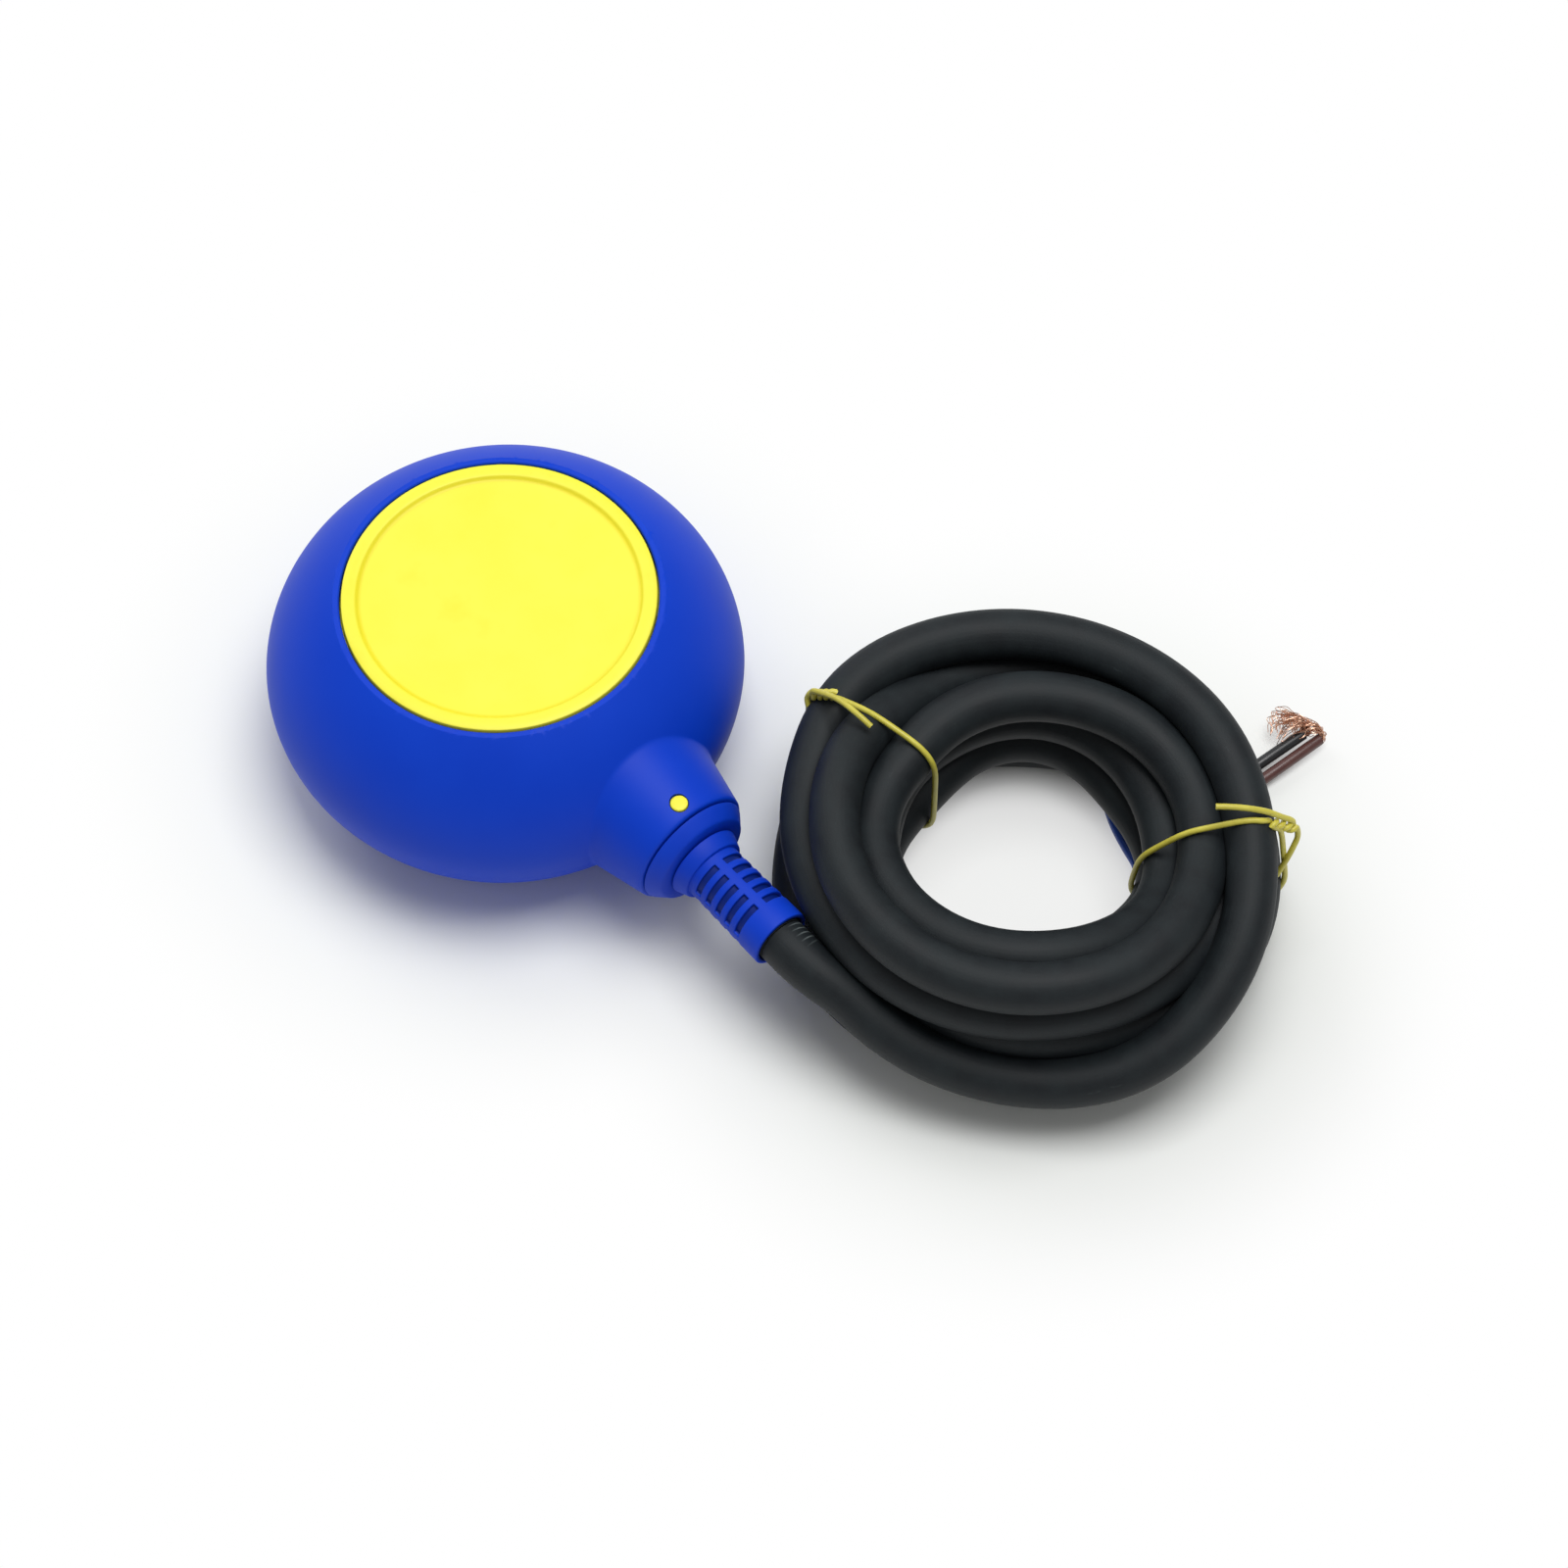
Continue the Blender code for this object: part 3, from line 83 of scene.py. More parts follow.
# Away from the float and the coil the card fades to plain white, as a lit studio sweep does. In the
# coil's hole a painted glow lifts the shade inwards, only part of the way to white.
FLOAT_SPOT = (-0.0151, 0, 0)
COIL_SPOT = (0.0685, 0.0413, 0)
# How far the painted light in the coil's hole lifts its shade towards white.
HOLE_PAINTED_LIGHT = 0.6
place = add(tree, "ShaderNodeTexCoord", {})
fades = []
for middle, near, far in (
        (FLOAT_SPOT, 0.036, 0.078), (COIL_SPOT, 0.040, 0.080), (COIL_SPOT, 0.029, 0.019)):
    away = add(tree, "ShaderNodeVectorMath", {"operation": "SUBTRACT", "1": middle},
               {"0": place.outputs["Object"]})
    reach = add(tree, "ShaderNodeVectorMath", {"operation": "LENGTH"}, {"0": away.outputs[0]})
    fades.append(add(tree, "ShaderNodeMapRange", {
        "From Min": near, "From Max": far, "To Max": 1.0 if far > near else HOLE_PAINTED_LIGHT,
        "interpolation_type": "SMOOTHSTEP"}, {"Value": reach.outputs["Value"]}))
outside = add(tree, "ShaderNodeMath", {"operation": "MULTIPLY"},
              {"0": fades[0].outputs[0], "1": fades[1].outputs[0]})
fade = add(tree, "ShaderNodeMath", {"operation": "MAXIMUM"},
           {"0": outside.outputs[0], "1": fades[2].outputs[0]})
ray = add(tree, "ShaderNodeLightPath", {})
seen = add(tree, "ShaderNodeMath", {"operation": "ADD"},
           {"0": ray.outputs["Is Camera Ray"], "1": ray.outputs["Is Glossy Ray"]})
seen = add(tree, "ShaderNodeMath", {"operation": "ADD", "use_clamp": True},
           {"0": seen.outputs[0], "1": ray.outputs["Is Transmission Ray"]})
share = add(tree, "ShaderNodeMath", {"operation": "MULTIPLY"},
            {"0": fade.outputs[0], "1": seen.outputs[0]})
glow = add(tree, "ShaderNodeEmission", {"Color": linear("#ffffff"), "Strength": 1.0})
sweep = add(tree, "ShaderNodeMixShader", {}, {
    "0": share.outputs[0], "1": shader.outputs[0], "2": glow.outputs[0]})
tree.links.new(sweep.outputs[0], tree.nodes["Material Output"].inputs["Surface"])

CARD_REACH = 3.0
floor_mesh = bpy.data.meshes.new("card_floor")
floor_mesh.from_pydata(
    [(CARD_REACH * x, CARD_REACH * y, 0) for x, y in ((-1, -1), (1, -1), (1, 1), (-1, 1))], [],
    [(0, 1, 2, 3)])
floor_mesh.materials.append(card)
floor = bpy.data.objects.new("card_floor", floor_mesh)
scene.collection.objects.link(floor)

world = bpy.data.worlds.new("white_studio")
scene.world = world
world.use_nodes = True
world.node_tree.nodes["Background"].inputs["Color"].default_value = linear("#ffffff")
world.node_tree.nodes["Background"].inputs["Strength"].default_value = 0.31


def soft_box(name, place, aim, size, power):
    """A square soft box that hangs over the table."""
    light = bpy.data.lights.new(name, "AREA")
    light.shape = "SQUARE"
    light.size = size
    light.energy = power
    box = bpy.data.objects.new(name, light)
    box.location = place
    box.rotation_mode = "QUATERNION"
    box.rotation_quaternion = (Vector(aim) - Vector(place)).to_track_quat("-Z", "Y")
    scene.collection.objects.link(box)


soft_box("key_box", (0.08, 0.20, 1.20), (0.03, 0.03, 0.0), 0.7, 10.4)
soft_box("side_box", (-0.85, 0.10, 0.60), (0.0, 0.0, 0.0), 0.6, 2.6)

camera = bpy.data.objects.new("camera", bpy.data.cameras.new("camera"))
scene.collection.objects.link(camera)
scene.camera = camera
camera.data.lens = 101.25
camera.data.sensor_width = 36.0
camera.location = (0.31170, -0.22233, 0.64707)
camera.rotation_mode = "QUATERNION"
camera.rotation_quaternion = Vector((-0.38266, 0.33264, -0.86194)).to_track_quat("-Z", "Y")
scene.view_settings.view_transform = "Standard"

# Cable: three-core flex in an extruded rubber sheath, 8.4 mm thick, wound by hand into a ring. It
# leaves the sleeve level, sinks to the ring's foot, climbs its outside and works its way inwards.

AXIS_X = FLOAT_SPOT[0]
FLOAT_MIDDLE = 0.0205
CABLE_DIAMETER = 0.0084
RELIEF_END = 0.0702
RING_CENTRE = np.array(COIL_SPOT)
RING_START = -41.0
RING_END = 44.0 + 360 * 8
POINTS_PER_TURN = 32
# Turns may press into each other a little. Each step pushes them apart, evens out their drift and
# pulls them back to their seats, by these shares.
SQUEEZE = 0.985
PUSH, EVENING, PULL = 0.35, 0.25, 0.01
# The cores run out under the ring in this direction, where its lowest turns lift over them.
PASS_DIRECTION = 81
PASS_SPREAD = 24
PASS_INSIDE = 0.0272
PASS_LIFT = 0.0026
# The lead's first points, measured from the sleeve's end.
lead = np.array([
    (0.0003, 0, 0), (0.0043, 0, 0), (0.0083, 0.0007, -0.0008), (0.0134, 0.0022, -0.0023),
    (0.0216, 0.0052, -0.0059), (0.0295, 0.0094, -0.0095), (0.0373, 0.0149, -0.0123),
]) + (AXIS_X + RELIEF_END, 0, FLOAT_MIDDLE)

# Each turn's distance from the ring's middle and its height over the table, in millimetres, at
# the near side, on the right, at the far side and on the left.
ring_seats = [
    ((39.0, 7.2), (34.9, 28.8), (34.6, 29.2), (34.6, 23.8)),
    ((33.0, 23.6), (35.2, 20.5), (33.4, 21.0), (31.6, 31.0)),
    ((32.2, 31.8), (29.1, 24.0), (24.1, 28.7), (25.9, 25.6)),
    ((24.8, 28.4), (24.0, 18.8), (26.4, 20.3), (25.6, 17.2)),
    ((24.8, 20.0), (26.6, 10.6), (27.8, 12.2), (27.0, 9.0)),
    ((24.8, 12.4), (30.0, 16.0), (29.8, 4.2), (31.5, 14.2)),
    ((33.0, 15.2), (35.2, 12.2), (35.6, 12.6), (33.6, 6.2)),
    ((31.2, 4.2), (35.0, 4.2), (37.2, 4.6), (31.0, 4.2)),
    ((23.6, 4.2), (26.8, 4.2)),
]


def ring_route():
    """The lead and the ring's turns, eased apart until no two turns share the same room."""
    seats = np.array([seat for turn in ring_seats for seat in turn]) / 1000
    angles = np.arange(RING_START, RING_END, 360 / POINTS_PER_TURN)
    step = (angles - RING_START) / 90
    low = np.clip(step.astype(int), 0, len(seats) - 2)
    share = (step - low)[:, None]
    share = share * share * (3 - 2 * share)
    seat = seats[low] * (1 - share) + seats[low + 1] * share
    turn = np.radians(angles)
    points = RING_CENTRE + np.stack(
        [seat[:, 0] * np.cos(turn), seat[:, 0] * np.sin(turn), seat[:, 1]], 1)
    points = np.vstack([lead, points])
    # Where the lead runs into the ring, its bend is evened out.
    for _ in range(300):
        even = np.zeros_like(points)
        second = points[:-2] + points[2:] - 2 * points[1:-1]
        even[2:-2] = second[:-2] + second[2:] - 2 * second[1:-1]
        points[3:24] -= 0.06 * even[3:24]
    wanted = points.copy()
    index = np.arange(len(points))
    other = np.abs(index[:, None] - index[None]) > POINTS_PER_TURN * 0.6
    for _ in range(400):
        apart = points[:, None] - points[None]
        gap = np.linalg.norm(apart, axis=2) + 1e-9
        press = np.where(other, np.maximum(0, CABLE_DIAMETER * SQUEEZE - gap), 0)
        shift = (apart / gap[:, :, None] * press[:, :, None]).sum(1) * PUSH
        drift = points - wanted
        bend = np.zeros_like(points)
        bend[1:-1] = (drift[:-2] + drift[2:]) / 2 - drift[1:-1]
        points = points + shift + EVENING * bend - PULL * drift
        away = points[:, :2] - RING_CENTRE[:2]
        reach = np.hypot(away[:, 0], away[:, 1])
        swing = np.degrees(np.arctan2(away[:, 1], away[:, 0])) - PASS_DIRECTION
        lift = np.exp(-(swing / PASS_SPREAD) ** 2) * (reach > PASS_INSIDE) * PASS_LIFT
        points[:, 2] = np.maximum(points[:, 2], CABLE_DIAMETER / 2 + lift)
        points[:4] = lead[:4]
    return points


def smooth(points, spacing):
    """Evenly spaced points on a smooth curve through a route's own points."""
    pts = np.array(points, float)
    pts = np.vstack([2 * pts[0] - pts[1], pts, 2 * pts[-1] - pts[-2]])
    t = (np.arange(16) / 16)[:, None]
    fine = []
    for a, b, c, d in zip(pts, pts[1:], pts[2:], pts[3:]):
        fine.append(0.5 * (
            2 * b + (c - a) * t + (2 * a - 5 * b + 4 * c - d) * t * t
            + (3 * b - a - 3 * c + d) * t ** 3))
    fine = np.vstack(fine + [pts[-2][None]])
    walked = np.r_[0, np.cumsum(np.linalg.norm(np.diff(fine, axis=0), axis=1))]
    even = np.linspace(0, walked[-1], max(2, round(walked[-1] / spacing)) + 1)
    return np.stack([np.interp(even, walked, fine[:, i]) for i in range(3)], 1)


def placed(name, mesh, material):
    """Puts a mesh in the scene as a piece, smooth-shaded, in one material."""
    mesh.materials.append(material)
    mesh.shade_smooth()
    piece = bpy.data.objects.new(name, mesh)
    scene.collection.objects.link(piece)
    return piece


def new_piece(name, verts, faces, material):
    """A piece from lists of points and faces."""
    mesh = bpy.data.meshes.new(name)
    mesh.from_pydata([tuple(v) for v in verts], [], faces)
    mesh.validate()
    return placed(name, mesh, material)


def from_bmesh(name, bm, material):
    """A piece from a bmesh, which is freed."""
    mesh = bpy.data.meshes.new(name)
    bm.to_mesh(mesh)
    bm.free()
    return placed(name, mesh, material)


def tube(name, line, radius, sides, material):
    """A round cord along a line. Its UV map runs in metres: along the cord, and round it."""
    line = np.array(line, float)
    count = len(line)
    radius = np.broadcast_to(radius, count)
    ahead = np.gradient(line, axis=0)
    ahead /= np.linalg.norm(ahead, axis=1)[:, None]
    side = np.cross(ahead[0], (0.0, 0.0, 1.0))
    if np.linalg.norm(side) < 0.1:
        side = np.cross(ahead[0], (0.0, 1.0, 0.0))
    angle = 2 * math.pi * np.arange(sides) / sides
    verts = []
    for i in range(count):
        side = side - ahead[i] * (side @ ahead[i])
        side /= np.linalg.norm(side)
        up = np.cross(side, ahead[i])
        ring = np.outer(np.cos(angle), side) + np.outer(np.sin(angle), up)
        verts.append(line[i] + ring * radius[i])
    verts = np.vstack(verts + [line[0][None], line[-1][None]])
    faces = []
    for i in range(count - 1):
        for k in range(sides):
            n = (k + 1) % sides
            faces.append((i * sides + k, i * sides + n, (i + 1) * sides + n, (i + 1) * sides + k))
    start, end = count * sides, count * sides + 1
    last = (count - 1) * sides
    for k in range(sides):
        n = (k + 1) % sides
        faces.append((start, n, k))
        faces.append((end, last + k, last + n))
    piece = new_piece(name, verts, faces, material)
    walked = np.r_[0, np.cumsum(np.linalg.norm(np.diff(line, axis=0), axis=1))]
    around = 2 * math.pi * float(radius.max()) / sides
    uv = piece.data.uv_layers.new(name="along")
    spots = []
    for i in range(count - 1):
        for k in range(sides):
            spots += [(walked[i], k * around), (walked[i], (k + 1) * around),
                      (walked[i + 1], (k + 1) * around), (walked[i + 1], k * around)]
    spots += [(0, 0)] * (6 * sides)
    uv.data.foreach_set("uv", np.array(spots, np.float32).ravel())
    piece.data.set_sharp_from_angle(angle=math.radians(50))
    return piece


# Extruded rubber: nearly black, matt, with a grey bloom that the talc of the extrusion leaves in
# patches of 4 to 10 mm, faint drawing lines along the cord and a few pale rub marks.
rubber, tree, shader = new_material("extruded_rubber")
shader.inputs["IOR"].default_value = 1.52
shader.inputs["Specular IOR Level"].default_value = 0.3
run = add(tree, "ShaderNodeUVMap", {"uv_map": "along"})
in_mm = add(tree, "ShaderNodeMapping", {"Scale": (1000, 1000, 1)}, {"Vector": run.outputs[0]})
bloom = add(tree, "ShaderNodeTexNoise", {"Scale": 0.16, "Detail": 4.0, "Roughness": 0.6},
            {"Vector": in_mm.outputs[0]})
lines = add(tree, "ShaderNodeMapping", {"Scale": (0.03, 1.6, 1)}, {"Vector": in_mm.outputs[0]})
drawn = add(tree, "ShaderNodeTexNoise", {"Scale": 1.0, "Detail": 3.0}, {"Vector": lines.outputs[0]})
pits = add(tree, "ShaderNodeTexNoise", {"Scale": 2.6, "Detail": 3.0, "Roughness": 0.7},
           {"Vector": in_mm.outputs[0]})
tone = add(tree, "ShaderNodeMapRange", {"From Min": 0.35, "From Max": 0.7},
           {"Value": bloom.outputs["Fac"]})
skin = add(tree, "ShaderNodeMix", {"data_type": "RGBA", "6": linear("#14191d"),
                                   "7": linear("#1e2528")}, {"0": tone.outputs[0]})
speck = add(tree, "ShaderNodeMapRange", {"From Min": 0.62, "From Max": 0.78, "To Max": 0.5},
            {"Value": pits.outputs["Fac"]})
rub_run = add(tree, "ShaderNodeMapping", {"Scale": (0.09, 0.5, 1), "Location": (3.1, 1.7, 0)},
              {"Vector": in_mm.outputs[0]})
rub = add(tree, "ShaderNodeTexNoise", {"Scale": 1.0, "Detail": 5.0, "Roughness": 0.75},
          {"Vector": rub_run.outputs[0]})
rubbed = add(tree, "ShaderNodeMapRange", {"From Min": 0.66, "From Max": 0.76, "To Max": 0.45},
             {"Value": rub.outputs["Fac"]})
# Pale scuffs in short arcs mark the far side of the lead's first 5 mm.
apart = add(tree, "ShaderNodeSeparateXYZ", {}, {"0": in_mm.outputs[0]})
near_exit = add(tree, "ShaderNodeMapRange", {
    "From Min": 5.5, "From Max": 3.5, "interpolation_type": "SMOOTHSTEP"},
    {"Value": apart.outputs["X"]})
aside = add(tree, "ShaderNodeMath", {"operation": "SUBTRACT", "1": 11.5}, {"0": apart.outputs["Y"]})
aside = add(tree, "ShaderNodeMath", {"operation": "ABSOLUTE"}, {"0": aside.outputs[0]})
far_side = add(tree, "ShaderNodeMapRange", {"From Min": 4.2, "From Max": 2.4},
               {"Value": aside.outputs[0]})
arcs = add(tree, "ShaderNodeTexWave", {
    "Scale": 0.30, "Distortion": 1.6, "Detail": 1.0, "Detail Scale": 0.25},
    {"Vector": in_mm.outputs[0]})
arcs = add(tree, "ShaderNodeMapRange", {"From Min": 0.84, "From Max": 0.98, "To Max": 0.45},
           {"Value": arcs.outputs["Fac"]})
for limit in (near_exit, far_side):
    arcs = add(tree, "ShaderNodeMath", {"operation": "MULTIPLY"},
               {"0": arcs.outputs[0], "1": limit.outputs[0]})
for mask, colour in ((speck, "#30393b"), (rubbed, "#4a5455"), (arcs, "#8b9595")):
    skin = add(tree, "ShaderNodeMix", {"data_type": "RGBA", "7": linear(colour)},
               {"0": mask.outputs[0], "6": skin.outputs[2]})
tree.links.new(skin.outputs[2], shader.inputs["Base Color"])
matt = add(tree, "ShaderNodeMapRange", {"To Min": 0.5, "To Max": 0.72},
           {"Value": bloom.outputs["Fac"]})
tree.links.new(matt.outputs[0], shader.inputs["Roughness"])
relief = add(tree, "ShaderNodeMath", {"operation": "ADD"},
             {"0": drawn.outputs["Fac"], "1": pits.outputs["Fac"]})
bump = add(tree, "ShaderNodeBump", {"Strength": 0.35, "Distance": 0.00008},
           {"Height": relief.outputs[0]})
tree.links.new(bump.outputs[0], shader.inputs["Normal"])

cable_line = smooth(ring_route(), 0.0016)
cable = tube("cable", cable_line, CABLE_DIAMETER / 2, 20, rubber)
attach(cable, "float_body")
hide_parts("cable_lead", "cable_coil")

# Stripped end: the sheath is cut back in the ring's hole, and three PVC-insulated cores run out on
# the table. Brown and black pass under the ring together, and blue bends along its inner wall.

CORE_DIAMETER = 0.0020
CORE_HEIGHT = 0.0013
core_routes = {
    "brown": [
        (0.0111, 0.0227, 0), (0.0095, 0.0243, 0), (0.0086, 0.0280, 0), (0.0086, 0.0355, 0),
        (0.0092, 0.0445, 0.0002), (0.0098, 0.0525, 0.0006), (0.0101, 0.0590, 0.0006)],
    "black": [
        (0.0100, 0.0205, 0), (0.0080, 0.0222, 0), (0.0066, 0.0245, 0), (0.0061, 0.0285, 0),
        (0.0062, 0.0375, 0), (0.0067, 0.0445, 0.0006), (0.0073, 0.0510, 0.0012),
        (0.0078, 0.0572, 0.0014)],
    "blue": [
        (0.0102, 0.0175, 0), (0.0073, 0.0189, 0), (0.0037, 0.0199, 0), (-0.0002, 0.0212, 0),
        (-0.0034, 0.0227, 0), (-0.0062, 0.0244, 0)],
}
core_colours = {
    "brown": ("#4a2a28", "#63403b"), "black": ("#151618", "#26282b"),
    "blue": ("#1546b8", "#2a62d8")}
# The routes are measured from the middle of the coil's plain solid.
COIL_CENTRE = np.array((0.0685, 0.0425, 0.0))


def clouded(name, shades, cloud, gloss, relief, inputs, grain=None, along=False, worn=False):
    """A material whose shade and gloss drift in clouds, with a fine relief in its skin.

    The clouds are laid out in metres, or in millimetres along a cord. The relief comes from a grain
    of its own, or from the clouds, and on worn pieces the gloss follows the grain too. With the
    material come its tree and what a further layer of colour starts from.
    """
    material, tree, shader = new_material(name)
    for key, value in inputs.items():
        shader.inputs[key].default_value = value
    if along:
        run = add(tree, "ShaderNodeUVMap", {"uv_map": "along"})
        place = add(tree, "ShaderNodeMapping", {"Scale": (1000, 1000, 1)},
                    {"Vector": run.outputs[0]}).outputs[0]
    else:
        place = add(tree, "ShaderNodeTexCoord", {}).outputs["Object"]
    clouds = add(tree, "ShaderNodeTexNoise", cloud, {"Vector": place}).outputs["Fac"]
    height = clouds
    if grain:
        height = add(tree, "ShaderNodeTexNoise", grain, {"Vector": place}).outputs["Fac"]
    skin = add(tree, "ShaderNodeMix", {"data_type": "RGBA", "6": linear(shades[0]),
                                       "7": linear(shades[1])}, {"0": clouds}).outputs[2]
    satin = add(tree, "ShaderNodeMapRange", {"To Min": gloss[0], "To Max": gloss[1]},
                {"Value": height if worn else clouds})
    bump = add(tree, "ShaderNodeBump", {"Strength": relief[0], "Distance": relief[1]},
               {"Height": height})
    for source, key in (
            (skin, "Base Color"), (satin.outputs[0], "Roughness"), (bump.outputs[0], "Normal")):
        tree.links.new(source, shader.inputs[key])
    return material, tree, place, clouds, skin


sheath_end = cable_line[-1]
end_ahead = (cable_line[-1] - cable_line[-3]) / np.linalg.norm(cable_line[-1] - cable_line[-3])
end_out = np.cross(end_ahead, (0, 0, 1))
core_starts = {"brown": (0.0012, -0.0007), "black": (-0.0012, -0.0007), "blue": (0.0, 0.0013)}
for colour, route in core_routes.items():
    # Extruded PVC: smooth and half glossy, so that each thin core carries a narrow highlight.
    pvc = clouded(
        colour + "_pvc", core_colours[colour], {"Scale": 0.5, "Detail": 3.0}, (0.25, 0.45),
        (0.2, 0.00004), {"IOR": 1.53}, along=True)[0]
    # The three cores lie in a triangle in the sheath's cut end and sink from it to the table.
    out, up = core_starts[colour]
    start = sheath_end + end_out * out + np.array((0, 0, up))
    spots = [start - end_ahead * CORE_DIAMETER, start + end_ahead * CORE_DIAMETER / 2]
    spots += [COIL_CENTRE + (x, y, CORE_HEIGHT + rise) for x, y, rise in route]
    line = smooth(spots, 0.0008)
    core = tube("core_insulation_" + colour, line, CORE_DIAMETER / 2, 14, pvc)
    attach(core, "float_body")
    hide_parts("core_" + colour)

# Bare copper: each core ends in a bunch of fine drawn strands, frayed into loose curls that fold
# back over the insulation. Drawn copper is bright, and a faint tarnish breaks its glint.
copper = clouded(
    "drawn_copper_strands", ("#cf8f70", "#f6d6bd"), {"Scale": 900.0, "Detail": 3.0}, (0.35, 0.35),
    (0.3, 0.00002), {"Metallic": 1.0})[0]

STRAND_DIAMETER = 0.00013
BUNCH_RADIUS = 0.0007
GOLDEN_ANGLE = 2.4
UNRULINESS = 0.00022


def merged(name, pieces):
    """Joins several pieces of one material into one."""
    whole = bmesh.new()
    for piece in pieces:
        whole.from_mesh(piece.data)
        bpy.data.objects.remove(piece)
    return from_bmesh(name, whole, copper)


for colour, count, curl, high, lean in (
        ("brown", 44, 0.0015, 0.0034, -1.5), ("black", 60, 0.0019, 0.0040, -1.2),
        ("blue", 10, 0.0003, 0.0003, 0.0)):
    route = [COIL_CENTRE + (x, y, CORE_HEIGHT + rise) for x, y, rise in core_routes[colour]]
    tip = route[-1]
    along = (tip - route[-2]) / np.linalg.norm(tip - route[-2])
    side = np.cross(along, (0, 0, 1))
    side /= np.linalg.norm(side)
    up = np.cross(side, along)
    chance = np.random.default_rng(11 + count)
    strands = []
    for i in range(count):
        angle = GOLDEN_ANGLE * i
        out = BUNCH_RADIUS * math.sqrt((i + 0.5) / count)
        start = tip + side * out * math.cos(angle) + up * out * math.sin(angle)
        # Each strand leaves the cut end, turns over in a small loop and lies back over the core.
        aside = (lean + chance.uniform(-0.9, 0.9)) * curl
        turn = chance.uniform(0.25, 1.0) * curl
        back = chance.uniform(0.2, 2.6) * curl
        top = chance.uniform(0.35, 1.0) * high
        curled = (
            (turn * 0.55, 0, 0.12), (turn * 0.75, 0.35, 0.5), (turn * 0.1, 0.7, 0.85),
            (-back * 0.45, 1.1, 0.9), (-back * 0.8, 1.5, chance.uniform(0.35, 0.9)),
            (-back, 1.2, chance.uniform(0.1, 0.8)))
        spots = [start - along * 0.0012, start] + [
            start + along * ahead + side * aside * across + up * top * rise
            + chance.normal(0, UNRULINESS, 3) for ahead, across, rise in curled]
        line = smooth(spots, 0.0004)
        line[:, 2] = np.maximum(line[:, 2], STRAND_DIAMETER)
        strands.append(tube("strand", line, STRAND_DIAMETER / 2, 5, copper))
    bunch = merged("copper_strands_" + colour, strands)
    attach(bunch, "float_body")
    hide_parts("copper_" + colour)

# Ties: two lengths of yellow plastic-coated steel wire, 1 mm thick. Each goes once round the ring,
# is twisted together at its outer shoulder, and ends in a tail that lies back over the top.

TIE_DIAMETER = 0.0010
RING_INSIDE = 0.0195
RING_OUTSIDE = 0.042


def strands_at(angle):
    """Distances from the ring's middle and heights of the cable wherever it crosses an angle."""
    flat = cable_line - RING_CENTRE
    turn = np.unwrap(np.arctan2(flat[:, 1], flat[:, 0]))
    reach = np.linalg.norm(flat[:, :2], axis=1)
    found = []
    for target in np.arange(-4, 12) * 2 * math.pi + angle:
        crossing = np.nonzero((turn[:-1] < target) & (turn[1:] >= target))[0]
        found += [(reach[i], flat[i, 2]) for i in crossing if reach[i] < 0.05]
    return found


def wrapped(angle, offset):
    """The tight outline round the ring's section at an angle, as (distance, height), clockwise."""
    turn = np.linspace(0, 2 * math.pi, 25)[:-1]
    spots = sorted({
        (round(r + offset * math.cos(a), 7), round(z + offset * math.sin(a), 7))
        for r, z in strands_at(angle) for a in turn})

    def chain(order):
        hull = []
        for spot in order:
            while len(hull) > 1 and (
                    (hull[-1][0] - hull[-2][0]) * (spot[1] - hull[-2][1])
                    - (hull[-1][1] - hull[-2][1]) * (spot[0] - hull[-2][0])) <= 0:
                hull.pop()
            hull.append(spot)
        return hull

    low, high = chain(spots), chain(spots[::-1])
    return (low[:-1] + high[:-1])[::-1]


# Coated tie wire: soft glossy PVC, greenish yellow, drifting to a darker shade along its length.
tie_coat = clouded(
    "yellow_pvc_coated_wire", ("#b3a62e", "#e8df5e"), {"Scale": 0.35, "Detail": 3.0}, (0.3, 0.5),
    (0.25, 0.00005), {"IOR": 1.53}, along=True)[0]


def ring_spot(reach, degrees, height):
    """A point by its distance from the ring's middle, its direction and its height."""
    angle = math.radians(degrees)
    return RING_CENTRE + (reach * math.cos(angle), reach * math.sin(angle), height)


